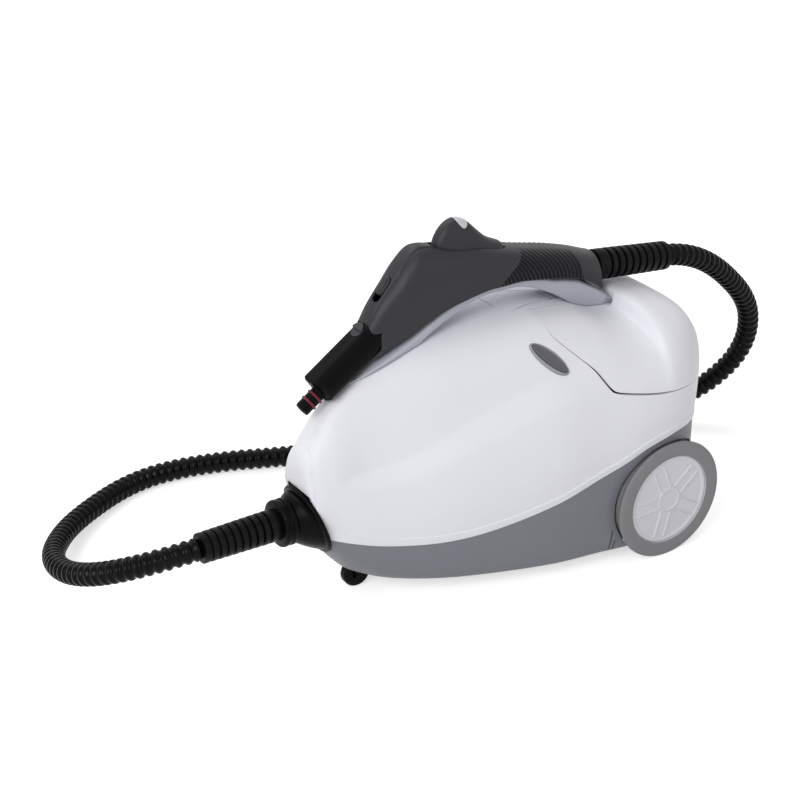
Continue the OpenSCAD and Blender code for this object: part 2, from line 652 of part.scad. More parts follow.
// Nose fittings: the neck runs from the coupling into the tilted flange
neck_turns = [0:11.25:359];
function coupling_ring(r, x) = [for (a = neck_turns) [x, r * sin(a), hose_z + r * cos(a)]];
function flange_ring(r, h) = [for (a = neck_turns) nose_c + r * sin(a) * [0, 1, 0]
    + r * cos(a) * [-sin(nose_tilt), 0, cos(nose_tilt)] - h * [cos(nose_tilt), 0, sin(nose_tilt)]];
module nose_grommet() {
    color(black) difference() {
        union() {
            at_nose() cylinder(r = flange_r, h = flange_t);
            loft([coupling_ring(coupling_r - 2, coupling_x + coupling_l),
                flange_ring(flange_r - 5, flange_t / 2)]);
        }
        translate([coupling_x, 0, hose_z]) rotate([0, 90, 0]) cylinder(r = hose_bore_r + 2, h = body_l / 4);
    }
}

module hose_coupling() {
    color(black) translate([coupling_x, 0, hose_z]) rotate([0, 90, 0])
        rotate_extrude() polygon([[hose_bore_r, 0], [coupling_r - 2, 0], [coupling_r, 2], [coupling_r, 5],
            [coupling_r - 1.5, 6], [coupling_r - 1.5, 8], [coupling_r, 9], [coupling_r, coupling_l - 1],
            [coupling_r - 1, coupling_l], [hose_bore_r, coupling_l]]);
}

// Bend sleeve with ribs, along +Z from its root
cuff_taper = 0.12;
module bend_sleeve(l, root_l) {
    pitch = (l - root_l) / cuff_ribs;
    groove = [for (i = [0:cuff_ribs - 1]) each
        [[cuff_r - 3, root_l + pitch * (i + 0.05)], [cuff_r - 3, root_l + pitch * (i + 0.3)],
            [cuff_r - cuff_taper * i, root_l + pitch * (i + 0.4)],
            [cuff_r - cuff_taper * i, root_l + pitch * (i + 0.95)]]];
    rotate_extrude() polygon(concat([[hose_bore_r, 0], [cuff_r - 1, 0], [cuff_r, 1], [cuff_r, root_l]],
        groove, [[hose_r + 0.5, l], [hose_bore_r, l]]));
}

module nose_cuff() {
    color(black) translate([coupling_x, 0, hose_z]) rotate([0, -90, 0]) bend_sleeve(nose_cuff_l, 10);
}

module gun_cuff() {
    color(black) at_cuff() bend_sleeve(gun_cuff_l, 12);
}

// Hose
gun_end = cuff_root + cuff_dir * (gun_cuff_l + clear);
nose_end = [coupling_x - nose_cuff_l, 0, hose_z];
hose_run = 2 * hose_r;
hose_points = path(concat([for (k = [0, 0.5, 1]) gun_end + k * hose_run * cuff_dir],
    [for (p = hose_mid) [p[0] * scale_x, p[1], p[2]]],
    [for (k = [1, 0.5, 0]) nose_end - [k * hose_run, 0, 0]]), 8);
hose_s = lengths(hose_points);
hose_l = hose_s[len(hose_s) - 1];
rib_count = floor((hose_l - 4) / rib_pitch);
rib_step = (hose_l - 4) / rib_count;
module hose() {
    places = concat([0, 2], [for (i = [0:rib_count - 1]) each
        [2 + rib_step * (i + 0.3), 2 + rib_step * (i + 0.8)]], [hose_l - 1, hose_l]);
    base = frames(hose_points, places);
    last = len(base) - 1;
    radius = function (i) i < 2 || i > last - 2 || i % 2 == 1 ? hose_r - rib_depth : hose_r;
    color(black) swept_tube([for (i = [0:last]) [base[i][0], base[i][1], base[i][2], radius(i)]],
        hose_bore_r, 8, 5);
}

// Gun
slot_x = [hump_x[0] * scale_x - 4, hump_x[len(hump_x) - 1] * scale_x + 3];
trigger_pin_at = [29 * scale_x, 0, crown_z + 17];
trigger_pin_l = 1.55 * gun_half(trigger_pin_at[0]);
lock_slot = 25;
lock_l = 18;
lock_w = 10;
module gun_half_shell(side) {
    outer = [for (x = spread(gun_x)) gun_outer(x, side)];
    inner = [for (x = spread(gun_x)) gun_inner(x, side)];
    color(charcoal) difference() {
        sheet(side > 0 ? outer : [for (r = outer) flip(r)], side > 0 ? inner : [for (r = inner) flip(r)]);
        translate([slot_x[0], -trigger_w / 2 - clear, crown_z + 6])
            cube([slot_x[1] - slot_x[0], trigger_w + 2 * clear, crown_z]);
        cross_pin(trigger_pin_at, trigger_pin_r, trigger_pin_l);
        at_front() linear_extrude(20, center = true) oval(lock_slot + 2 * clear, lock_w + 2 * clear);
        barrel_form(seam_gap);
        latch_well();
        nozzle_room(seat_gap);
    }
}
module gun_left_half() {
    gun_half_shell(-1);
}
module gun_right_half() {
    gun_half_shell(1);
}

hump_low = 12;
hump_round = 3;
function hump_ring(x, w, zt, zb) =
    concat([[x, -w, zb]], [for (a = [0, 22, 45, 68, 90, 112, 135, 158, 180])
        [x, -w * (a > 90 ? -1 : 1) * pow(abs(cos(a)), 2 / hump_round),
            zb + 4 + (zt - zb - 4) * pow(sin(a), 2 / hump_round)]], [[x, w, zb]]);
module hump_form(lift) {
    loft([for (x = spread(hump_x))
        hump_ring(x, trigger_w / 2, crown_z + at(hump_line, x) + lift, crown_z + hump_low)]);
}
insert_x = -16 * scale_x;
insert_t = 3;
module insert_zone(g) {
    translate([insert_x, 0, crown_z]) linear_extrude(crown_z) rotate(90) offset(delta = g)
        oval(trigger_w - 6, 12);
}
module thumb_trigger() {
    color(charcoal) difference() {
        hump_form(0);
        cross_pin(trigger_pin_at, trigger_pin_r + run_fit, gun_w);
        difference() {
            insert_zone(run_fit);
            hump_form(-insert_t - run_fit);
        }
    }
}
module trigger_insert() {
    color(pale) difference() {
        intersection() {
            hump_form(0.3);
            insert_zone(0);
        }
        hump_form(-insert_t);
    }
}
module trigger_pin() {
    color(steel) cross_pin(trigger_pin_at, trigger_pin_r, trigger_pin_l);
}

spring_x = -30 * scale_x;
spring_r = 5;
spring_wire = 1;
spring_turns = 5;
spring_seat = max([for (s = [-1, 1]) gun_roof(spring_x + s * (spring_r + spring_wire))]) + gun_wall;
spring_z = [spring_seat + spring_wire + 0.2, crown_z + hump_low - spring_wire - 0.2];
module trigger_spring() {
    n = spring_turns * 8;
    p = [for (i = [0:n]) [spring_x + spring_r * cos(360 * i / 8), spring_r * sin(360 * i / 8),
        spring_z[0] + (spring_z[1] - spring_z[0]) * i / n]];
    out = [for (i = [0:n]) [cos(360 * i / 8), sin(360 * i / 8), 0]];
    color(steel) loft([for (i = [0:n]) [for (k = [0:5])
        p[i] + spring_wire * (cos(60 * k) * out[i] - sin(60 * k) * [0, 0, 1])]]);
}

// Lock slider at the upper end of its slot
module lock_button() {
    color(black) at_front() translate([(lock_slot - lock_l) / 2, 0, 0]) {
        translate([0, 0, -5]) linear_extrude(7) oval(lock_l, lock_w);
        translate([0, 0, 2]) linear_extrude(0.8) oval(lock_l - 4, lock_w - 4);
    }
}

latch_z = 18;
latch_r = 7;
latch_travel = 2;
latch_sunk = 3;
latch_proud = 2.5;
barrel_low = 10.5;
barrel_top = barrel_h - barrel_low;
nose_round = 22;
module barrel_form(g) {
    w = barrel_w / 2;
    at_barrel() intersection() {
        translate([0, 0, -g]) linear_extrude(barrel_l + g) offset(delta = g)
            polygon([[-barrel_low, -w + 7], [-barrel_low + 5, -w], [barrel_top - 9, -w],
                [barrel_top - 2, -w + 5], [barrel_top, -w + 8], [barrel_top, w - 8], [barrel_top - 2, w - 5],
                [barrel_top - 9, w], [-barrel_low + 5, w], [-barrel_low, w - 7]]);
        translate([0, 0, barrel_l - nose_round]) rotate([0, 90, 0]) union() {
            cylinder(r = nose_round, h = 3 * barrel_h, center = true);
            translate([0, -barrel_w, -2 * barrel_h]) cube([2 * barrel_l, 2 * barrel_w, 4 * barrel_h]);
        }
    }
}
module latch_well() {
    at_barrel() translate([barrel_top - latch_sunk - latch_travel - clear, 0, latch_z]) rotate([0, 90, 0])
        cylinder(r = latch_r + clear, h = barrel_h);
}
// Room for the nozzle tube and the valve behind the barrel, grown by g
module nozzle_room(g) {
    at_barrel() translate([-nozzle_drop, 0, 0]) {
        translate([0, 0, -nozzle_back]) cylinder(r = nozzle_r + g, h = nozzle_back);
        translate([0, 0, -nozzle_back - valve_l - g]) cylinder(r = valve_r + g, h = valve_l + g);
    }
}
module barrel_sleeve() {
    color(black) difference() {
        barrel_form(0);
        at_barrel() translate([-nozzle_drop, 0, -1]) cylinder(r = nozzle_r, h = barrel_l + 2);
        latch_well();
    }
}
module barrel_latch() {
    color(charcoal) at_barrel() translate([barrel_top - latch_sunk, 0, latch_z]) rotate([0, 90, 0])
        difference() {
            cylinder(r = latch_r, h = latch_sunk + latch_proud);
            translate([-2 * latch_r, -latch_r - 1, latch_sunk + 0.5])
                cube([2 * latch_r, 2 * latch_r + 2, latch_r]);
        }
}
nozzle_drop = 1.5;
nozzle_back = 16;
o_ring_at = [4, 11.5];
o_ring_r = 1.2;
module nozzle_tube() {
    tip = barrel_l + nozzle_l;
    color(black) at_barrel() translate([-nozzle_drop, 0, 0]) difference() {
        union() {
            translate([0, 0, -nozzle_back]) cylinder(r = nozzle_r, h = tip + nozzle_back - 1);
            translate([0, 0, tip - 1]) cylinder(r1 = nozzle_r, r2 = nozzle_r - 1, h = 1);
        }
        translate([0, 0, -nozzle_back - 1]) cylinder(r = nozzle_bore_r, h = tip + nozzle_back + 2);
        for (a = o_ring_at) translate([0, 0, barrel_l + a])
            rotate_extrude() translate([nozzle_r, 0]) circle(r = o_ring_r);
    }
}
module nozzle_o_rings() {
    color(red) at_barrel() translate([-nozzle_drop, 0, barrel_l]) for (a = o_ring_at) translate([0, 0, a])
        rotate_extrude() translate([nozzle_r, 0]) circle(r = o_ring_r);
}
valve_l = 22;
valve_r = 8;
module steam_valve() {
    color(brass) at_barrel() translate([-nozzle_drop, 0, -nozzle_back - valve_l]) difference() {
        union() {
            cylinder(r = valve_r, h = valve_l, $fn = 6);
            translate([0, 0, valve_l / 2]) rotate([0, 90, 0]) cylinder(r = 4, h = 14);
        }
        translate([0, 0, -1]) cylinder(r = nozzle_bore_r, h = valve_l + 2);
    }
}
tube_r = 4;
tube_wall = 1;
gun_tube_r = 3;
module gun_steam_tube() {
    back = barrel_root + nozzle_drop * [sin(barrel_pitch), 0, -cos(barrel_pitch)]
        + (nozzle_back + valve_l) * [cos(barrel_pitch), 0, sin(barrel_pitch)];
    side = gun_w / 2 - gun_wall - gun_tube_r - 1.6;
    p = path([back + [0.3, 0, 0.2], back + [9, 6, 5], [-45 * scale_x, side, crown_z + 6],
        [0, side, crown_z + 8], [55 * scale_x, side, crown_z + 7], [100 * scale_x, 8, crown_z - 9],
        cuff_root - cuff_dir * 12, cuff_root - cuff_dir * 0.3], 4);
    s = lengths(p);
    n = 24;
    places = [for (i = [0:n]) s[len(s) - 1] * i / n];
    color(black) swept_tube([for (f = frames(p, places)) concat(f, [gun_tube_r])],
        gun_tube_r - tube_wall, 8, 1);
}

// Running gear
module on_axle(side) {
    translate([axle_x, side * track_w / 2, wheel_r]) rotate([-side * 90, 0, 0]) children();
}
core_r = wheel_r - tyre_t;
cap_face = 4.5;
hub_r = core_r - 4;
boss_r = 11;
spoke_y = 6;
spoke_t = 1.2;
spoke_turn = 40;
hub_boss = 12;
clip_t = 1.2;
clip_r = 7;
hub_end = -9;
module tyre(side) {
    color([0.55, 0.55, 0.57]) on_axle(side) rotate_extrude()
        polygon([[core_r, -tyre_w], [wheel_r - 5, -tyre_w], [wheel_r - 1, -tyre_w + 2.5],
            [wheel_r, -tyre_w + 6], [wheel_r, -8], [wheel_r - 0.8, -4.5], [wheel_r - 3, -1.8],
            [wheel_r - 6, -0.4], [wheel_r - 8, 0], [hub_r + clear, 0], [hub_r + clear, -0.8],
            [core_r, -0.8]]);
}
module wheel_core(side) {
    color(pale) on_axle(side) difference() {
        rotate_extrude() polygon([[axle_r + run_fit, -tyre_w], [hub_boss, -tyre_w], [hub_boss, -tyre_w + 10],
            [core_r - 3, -tyre_w + 10], [core_r - 3, -tyre_w], [core_r, -tyre_w], [core_r, -1],
            [hub_r + clear / 2, -1], [hub_r + clear / 2, -cap_face], [hub_r - 4, -cap_face],
            [hub_r - 4, hub_end - 4], [hub_boss, hub_end - 4], [hub_boss, hub_end],
            [axle_r + run_fit, hub_end]]);
    }
}
module hub_cap(side) {
    color(pale) on_axle(side) {
        rotate_extrude() polygon([[0, -cap_face + 2], [hub_r - 4, -cap_face + 1], [hub_r - 4, -cap_face],
            [hub_r, -cap_face], [hub_r, -0.6], [hub_r - 1, 0], [hub_r - 3, 0], [hub_r - 4, -0.7],
            [boss_r + 1, -0.2], [boss_r, 0.4], [boss_r - 1, 0.9], [0, 1]]);
        for (i = [0:spoke_pairs - 1], s = [-1, 1])
            rotate(i * 360 / spoke_pairs + spoke_turn) translate([boss_r, s * spoke_y - spoke_t / 2, -1.2])
                cube([hub_r - 4 - boss_r, spoke_t, 1.6]);
    }
}
module axle() {
    color(steel) cross_pin([axle_x, 0, wheel_r], axle_r, track_w + 2 * (hub_end + 2.5));
}
module axle_clips() {
    color(steel) for (s = [-1, 1]) on_axle(s) translate([0, 0, hub_end + 0.2]) difference() {
        cylinder(r = clip_r, h = clip_t);
        translate([0, 0, -1]) cylinder(r = axle_r, h = clip_t + 2);
    }
}

// Caster
bush_r = 8;
bush_gap = 0.5;
stem_r = 4;
fork_t = 2.4;
fork_top = 2 * caster_r + 4;
caster_axle_r = 2;
module caster_bush() {
    color(black) translate([caster_x, 0, pocket_z + bush_gap]) difference() {
        union() {
            cylinder(r = bush_r, h = pocket_floor - pocket_z + 1);
            translate([0, 0, pocket_floor - pocket_z]) cylinder(r = bush_r + 3, h = 2);
        }
        translate([0, 0, -1]) cylinder(r = stem_r + run_fit, h = 40);
    }
}
module caster_fork() {
    color(black) translate([caster_x, 0, 0]) difference() {
        union() {
            translate([0, 0, fork_top - fork_t]) cylinder(r = 12, h = fork_t);
            translate([0, 0, fork_top - 1]) cylinder(r = stem_r, h = pocket_floor - fork_top + 5);
            for (s = [-1, 1]) translate([0, s * (caster_w / 2 + clear + fork_t / 2), 0]) rotate([90, 0, 0])
                linear_extrude(fork_t, center = true)
                    polygon([[-caster_trail - 5, caster_r - 3], [-caster_trail - 2, caster_r - 5],
                        [-caster_trail + 2, caster_r - 5], [-caster_trail + 5, caster_r - 3], [7, fork_top],
                        [-9, fork_top]]);
        }
        cross_pin([-caster_trail, 0, caster_r], caster_axle_r, 4 * caster_w);
    }
}
module caster_axle() {
    color(steel) cross_pin([caster_x - caster_trail, 0, caster_r], caster_axle_r,
        caster_w + 2 * clear + 2 * fork_t);
}
module caster_wheel() {
    h = caster_w / 2;
    color(black) translate([caster_x - caster_trail, 0, caster_r]) rotate([90, 0, 0])
        rotate_extrude() polygon([[caster_axle_r + run_fit, -h], [caster_r - 4, -h], [caster_r - 3, -h + 1],
            [caster_r - 1.5, -h + 1], [caster_r, -h + 3], [caster_r, h - 3], [caster_r - 1.5, h - 1],
            [caster_r - 3, h - 1], [caster_r - 4, h], [caster_axle_r + run_fit, h]]);
}

// Boiler and what it feeds
boiler_c = [22, 0, 112];
dome = 22;
neck_x = 46;
neck_top = top_z(neck_x) - wall - 12;
boss_t = 6;
front_port = [boiler_c[0] - boiler_l / 2, 0, boiler_c[2] + 14];
element_r = 4;
element_bend = 16;
element_low = 22;
flange_plate = 26;
valve_x = -14;
stat_x = 70;
module boiler_form(r, l, d) {
    rotate([0, 90, 0]) rotate_extrude()
        polygon(concat([for (a = [0:15:90]) [r * sin(a), -l / 2 + d * (1 - cos(a))]],
            [for (a = [90:-15:0]) [r * sin(a), l / 2 - d * (1 - cos(a))]]));
}
module boiler() {
    color(steel) difference() {
        union() {
            translate(boiler_c) boiler_form(boiler_r, boiler_l, dome);
            translate([neck_x, 0, boiler_c[2]]) cylinder(r = neck_r, h = neck_top - boiler_c[2]);
            for (x = [valve_x, stat_x]) translate([x, 0, boiler_c[2]]) cylinder(r = 9, h = boiler_r + 3);
            translate(front_port + [-4, 0, 0]) rotate([0, 90, 0]) cylinder(r = 7, h = dome);
            translate(boiler_c + [boiler_l / 2 - 12, 0, 0]) rotate([0, 90, 0])
                cylinder(r = flange_plate, h = 12);
        }
        translate(boiler_c) boiler_form(boiler_r - boiler_wall, boiler_l - 2 * boiler_wall, dome);
        translate([neck_x, 0, boiler_c[2]]) cylinder(r = neck_r - 2, h = boiler_l);
        translate([valve_x, 0, boiler_c[2]]) cylinder(r = 3, h = boiler_l);
        translate(front_port + [-5, 0, 0]) rotate([0, 90, 0]) cylinder(r = tube_r - tube_wall, h = dome + 9);
        for (s = [-1, 1]) translate(boiler_c + [0, s * element_bend, -element_low]) rotate([0, 90, 0])
            cylinder(r = element_r, h = boiler_l);
    }
}
module heating_element() {
    reach = boiler_l - dome - element_bend;
    color(steel) translate(boiler_c + [boiler_l / 2, 0, 0]) {
        difference() {
            rotate([0, 90, 0]) cylinder(r = flange_plate, h = 3);
            translate([-1, 0, 0]) rotate([0, 90, 0]) cylinder(r = 5, h = 6);
        }
        for (s = [-1, 1]) translate([-reach, s * element_bend, -element_low]) rotate([0, 90, 0])
            cylinder(r = element_r, h = reach + 12);
        translate([-reach, 0, -element_low]) rotate([0, 0, 90]) rotate_extrude(angle = 180)
            translate([element_bend, 0]) circle(r = element_r);
    }
}
module thermostat() {
    color(black) translate([stat_x, 0, boiler_c[2] + boiler_r + 3]) {
        cylinder(r = 8, h = 9);
        for (s = [-1, 1]) translate([s * 4 - 0.4, -2.5, 9]) cube([0.8, 5, 7]);
    }
}
module safety_valve() {
    color(brass) translate([valve_x, 0, boiler_c[2] + boiler_r + 3]) {
        cylinder(r = 8, h = 7, $fn = 6);
        translate([0, 0, 7]) cylinder(r = 5.5, h = 10);
        translate([0, 0, 17]) cylinder(r1 = 5.5, r2 = 3, h = 4);
    }
}
solenoid_c = [nose_c[0] + 64, 0, front_port[2] - 4];
module solenoid_valve() {
    color(brass) translate(solenoid_c) {
        translate([0, 0, 4]) rotate([0, 90, 0]) cylinder(r = 8, h = 34, center = true);
        translate([0, 0, 8]) cylinder(r = 6, h = 12);
        translate([-13, -13, 16]) cube([26, 26, 22]);
        translate([0, 0, 37]) cylinder(r = 4, h = 5);
    }
}
module pipe_between(points) {
    p = path(points, 5);
    s = lengths(p);
    n = 10;
    swept_tube([for (f = frames(p, [for (i = [0:n]) s[len(s) - 1] * i / n])) concat(f, [tube_r])],
        tube_r - tube_wall, 10, 1);
}
module inlet_pipe() {
    color(steel) pipe_between([solenoid_c + [17, 0, 4], front_port + [-4, 0, 0]]);
}
module outlet_pipe() {
    start = [coupling_x + coupling_l, 0, hose_z];
    color(steel) pipe_between([start, start + [7, 0, 0], start + [14, 0, 0], solenoid_c + [-37, 0, -3],
        solenoid_c + [-25, 0, 4], solenoid_c + [-21, 0, 4], solenoid_c + [-17, 0, 4]]);
}

bracket_x = [-34, 78];
bracket_half = 38;
bracket_t = 4;
foot_l = 14;
screw_y = 26;
screw_r = 1.9;
screw_head_r = 3.8;
module boiler_bracket(x) {
    foot = floor_z(x) + wall + seat_gap;
    cradle = [boiler_r * 0.72, boiler_c[2] - boiler_r * 0.5];
    color(steel) difference() {
        union() {
            translate([x, 0, 0]) rotate([90, 0, 90]) linear_extrude(bracket_t, center = true) difference() {
                polygon([[-bracket_half, foot], [bracket_half, foot], [bracket_half, foot + 20],
                    [cradle[0], cradle[1]], [-cradle[0], cradle[1]], [-bracket_half, foot + 20]]);
                translate([0, boiler_c[2]]) circle(r = boiler_r);
            }
            translate([x - foot_l / 2, -bracket_half, foot]) cube([foot_l, 2 * bracket_half, 3]);
        }
        for (s = [-1, 1]) translate([x, s * screw_y, foot - 1]) cylinder(r = screw_r, h = 12);
    }
}
module boiler_bracket_front() {
    boiler_bracket(bracket_x[0]);
}
module boiler_bracket_rear() {
    boiler_bracket(bracket_x[1]);
}
module bracket_screws() {
    color(steel) for (x = bracket_x, s = [-1, 1]) translate([x, s * screw_y, floor_z(x) - 1]) {
        cylinder(r = screw_r, h = wall + 11);
        cylinder(r = screw_head_r, h = 2);
    }
}

cap_h = 20;
module safety_cap() {
    color(black) translate([neck_x, 0, neck_top - 10]) difference() {
        union() {
            cylinder(r = cap_r, h = cap_h - 4);
            translate([0, 0, cap_h - 4]) cylinder(r1 = cap_r, r2 = cap_r - 2, h = 2);
            for (a = [0:30:330]) rotate(a) translate([cap_r, 0, 1]) cylinder(r = 1.6, h = cap_h - 6);
        }
        translate([0, 0, -1]) cylinder(r = neck_r + run_fit, h = 13);
    }
}
module cap_seal() {
    color(red) translate([neck_x, 0, neck_top]) difference() {
        cylinder(r = neck_r, h = 1.8);
        translate([0, 0, -1]) cylinder(r = neck_r - 2, h = 4);
    }
}

// Power button with its bezel and switch
module power_button() {
    edge = bezel_w + clear;
    color([0.42, 0.42, 0.46]) at_button() {
        translate([0, 0, -button_depth]) linear_extrude(button_depth + 2)
            ellipse(button_l - 2 * edge, button_w - 2 * edge);
        translate([0, 0, 2]) linear_extrude(1) ellipse(button_l - 2 * edge - 4, button_w - 2 * edge - 4);
    }
}
module button_bezel() {
    color([0.62, 0.63, 0.66]) at_button() translate([0, 0, switch_top]) linear_extrude(1 - switch_top)
        difference() {
            ellipse(button_l, button_w);
            ellipse(button_l - 2 * bezel_w, button_w - 2 * bezel_w);
        }
}
module switch_body() {
    color(black) at_button() {
        translate([-button_l / 2, -button_w / 2, switch_top - 16]) cube([button_l, button_w, 16]);
    }
}

gland_y = 45;
gland_z = 42;
gland_r = 8;
module cord_gland() {
    rear_x = spread(body_x)[len(body_x) - 1];
    color(black) translate([rear_x, gland_y, gland_z]) rotate([0, 90, 0]) difference() {
        union() {
            translate([0, 0, -wall - 6]) cylinder(r = gland_r, h = wall + 6);
            cylinder(r = gland_r + 4, h = 3);
            translate([0, 0, -wall - 6]) cylinder(r = gland_r + 3, h = 5);
        }
        translate([0, 0, -20]) cylinder(r = 4, h = 40);
    }
}

tray_half = 56;
tray_front = cover_seam[4][0] * scale_x;
tray_t = 2;
tray_drop = 11;
tray_z = cover_edge - tray_drop;
tab_x = [122, 152];
function inner_y(x, z) =
    let (z0 = seam_z(x), h = top_z(x) - z0)
    lookup(z, [for (f = shell_rows(x, h)) [z0 + (h - wall) * f, shell_y(x, f, h, wall)]]);
module accessory_tray() {
    tab_half = min([for (x = [tab_x[0]:6:tab_x[1]]) inner_y(x, tray_z)]) - clear;
    post_x = strip_end - 14;
    tray_end = body_l / 2 - 12;
    color(white) {
        rotate([90, 0, 0]) linear_extrude(2 * tray_half, center = true)
            polygon([[tray_front, tray_z], [tray_end, tray_z], [tray_end, tray_z + tray_t],
                [tray_front + 1, tray_z + tray_t], [cover_front + 18, 222 * scale_z],
                [cover_front + 16, 222 * scale_z]]);
        translate([tab_x[0], -tab_half, tray_z]) cube([tab_x[1] - tab_x[0], 2 * tab_half, tray_t]);
        translate([post_x, -12, tray_z]) cube([4, 24, top_z(post_x + 4) - wall - seat_gap - tray_z]);
    }
}

base_tub();
upper_shell();
rear_cover();
filler_flap();
flap_pin();
carry_handle();
nose_grommet();
hose_coupling();
nose_cuff();
hose();
gun_cuff();
gun_left_half();
gun_right_half();
thumb_trigger();
trigger_insert();
trigger_pin();
trigger_spring();
lock_button();
barrel_sleeve();
barrel_latch();
nozzle_tube();
nozzle_o_rings();
steam_valve();
gun_steam_tube();
axle();
axle_clips();
wheel_core(-1);  // wheel_core_left
wheel_core(1);  // wheel_core_right
tyre(-1);  // tyre_left
tyre(1);  // tyre_right
hub_cap(-1);  // hub_cap_left
hub_cap(1);  // hub_cap_right
caster_bush();
caster_fork();
caster_axle();
caster_wheel();
boiler();
boiler_bracket_front();
boiler_bracket_rear();
heating_element();
thermostat();
safety_valve();
solenoid_valve();
inlet_pipe();
outlet_pipe();
safety_cap();
cap_seal();
power_button();
button_bezel();
switch_body();
cord_gland();
bracket_screws();
accessory_tray();
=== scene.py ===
import math

import bmesh
import bpy
import numpy as np
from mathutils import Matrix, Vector


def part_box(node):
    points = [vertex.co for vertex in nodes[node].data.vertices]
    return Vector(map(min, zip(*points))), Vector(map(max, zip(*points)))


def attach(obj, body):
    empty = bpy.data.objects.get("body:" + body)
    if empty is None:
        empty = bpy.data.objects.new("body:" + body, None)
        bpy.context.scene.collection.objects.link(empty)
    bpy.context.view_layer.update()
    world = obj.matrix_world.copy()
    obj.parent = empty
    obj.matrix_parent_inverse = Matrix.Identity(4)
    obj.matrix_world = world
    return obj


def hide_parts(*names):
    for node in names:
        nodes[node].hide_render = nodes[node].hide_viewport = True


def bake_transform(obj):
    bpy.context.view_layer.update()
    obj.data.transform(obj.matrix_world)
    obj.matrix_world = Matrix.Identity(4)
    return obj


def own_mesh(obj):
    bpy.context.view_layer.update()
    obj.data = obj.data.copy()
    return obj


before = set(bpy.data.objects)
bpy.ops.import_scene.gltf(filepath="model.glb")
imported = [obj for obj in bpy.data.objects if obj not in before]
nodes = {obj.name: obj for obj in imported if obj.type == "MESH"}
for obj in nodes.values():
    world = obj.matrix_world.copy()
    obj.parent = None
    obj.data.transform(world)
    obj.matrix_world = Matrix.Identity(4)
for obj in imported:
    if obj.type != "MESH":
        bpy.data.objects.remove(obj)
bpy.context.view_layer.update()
mm = 0.001
print("frame loaded:", len(nodes), "nodes")

# camera: azimuth and elevation round the target, in the photograph's square frame
cameraView = {"azimuth": -33.13, "elevation": 26.76, "distance": 1.8182, "target": (-0.02477, 0.08112, 0.13019),
              "lens": 84.68, "sensor": 36.0}


def placeAimed(data, place, heading):
    obj = bpy.data.objects.new(data.name, data)
    obj.location = place
    obj.rotation_euler = heading.to_track_quat("-Z", "Y").to_euler()
    bpy.context.scene.collection.objects.link(obj)
    return obj


def makeCamera(v):
    a, e = math.radians(v["azimuth"]), math.radians(v["elevation"])
    back = Vector((math.sin(a) * math.cos(e), -math.cos(a) * math.cos(e), math.sin(e)))
    data = bpy.data.cameras.new("photoCamera")
    data.lens, data.sensor_width, data.sensor_fit = v["lens"], v["sensor"], "HORIZONTAL"
    bpy.context.scene.camera = placeAimed(data, Vector(v["target"]) + back * v["distance"], -back)


makeCamera(cameraView)


# cubic from p1 to p2 with the slopes m1 and m2 at its ends, at the share s of the way
def cubicAt(p1, p2, m1, m2, s):
    return (((2 * (p1 - p2) + m1 + m2) * s + 3 * (p2 - p1) - 2 * m1 - m2) * s + m1) * s + p1


# smooth curve through a table of [place, value]: the cubic on each stretch, its slopes from the neighbouring points
def curveAt(table, x):
    px, pv = np.asarray(table, float).T
    last = len(px) - 1
    i = np.clip(np.searchsorted(px, x, side="right") - 1, 0, last - 1)
    before, after = np.maximum(i - 1, 0), np.minimum(i + 2, last)
    run = px[i + 1] - px[i]
    m1 = run * (pv[i + 1] - pv[before]) / (px[i + 1] - px[before])
    m2 = run * (pv[after] - pv[i]) / (px[after] - px[i])
    return cubicAt(pv[i], pv[i + 1], m1, m2, np.clip((x - px[i]) / run, 0, 1))


# three minus two t, times t squared, with t held between 0 and 1
def smoothStep(t):
    c = np.clip(t, 0, 1)
    return c * c * (3 - 2 * c)


# closed smooth loop through control points, along axis 1: the cubic with wrapped neighbours
def smoothLoop(ctrl, per):
    p0, p1, p2, p3 = (np.roll(ctrl, k, axis=1)[:, :, None, :] for k in (1, 0, -1, -2))
    s = (np.arange(per) / per)[None, None, :, None]
    return cubicAt(p1, p2, (p2 - p0) / 2, (p3 - p1) / 2, s).reshape(ctrl.shape[0], -1, ctrl.shape[2])


def unit(v):
    return v / np.linalg.norm(v, axis=-1, keepdims=True)


def ringAngles(count):
    return np.arange(count) * 2 * np.pi / count


# corner cutting: each edge gives points at a quarter and three quarters of its length
def cutCorners(line, times, closed=False):
    p = np.asarray(line, float)
    for _ in range(times):
        nxt = np.roll(p, -1, axis=0) if closed else p[1:]
        own = p if closed else p[:-1]
        q = np.stack([0.75 * own + 0.25 * nxt, 0.25 * own + 0.75 * nxt], 1).reshape(-1, p.shape[1])
        p = q if closed else np.vstack([p[:1], q, p[-1:]])
    return p


# object from points in millimetres and faces, its doubles merged and its faces turned outwards
def addPiece(name, points, faces, sharp=38):
    mesh = bpy.data.meshes.new(name)
    mesh.from_pydata((np.asarray(points, float).reshape(-1, 3) * mm).tolist(), [], faces)
    work = bmesh.new()
    work.from_mesh(mesh)
    bmesh.ops.remove_doubles(work, verts=work.verts, dist=2e-6)
    bmesh.ops.dissolve_degenerate(work, edges=work.edges, dist=1e-6)
    bmesh.ops.recalc_face_normals(work, faces=work.faces)
    work.to_mesh(mesh)
    work.free()
    obj = bpy.data.objects.new(name, mesh)
    bpy.context.scene.collection.objects.link(obj)
    shade(obj, sharp)
    return obj


def shade(obj, sharp):
    obj.data.polygons.foreach_set("use_smooth", np.ones(len(obj.data.polygons), bool))
    obj.data.set_sharp_from_angle(angle=math.radians(sharp))


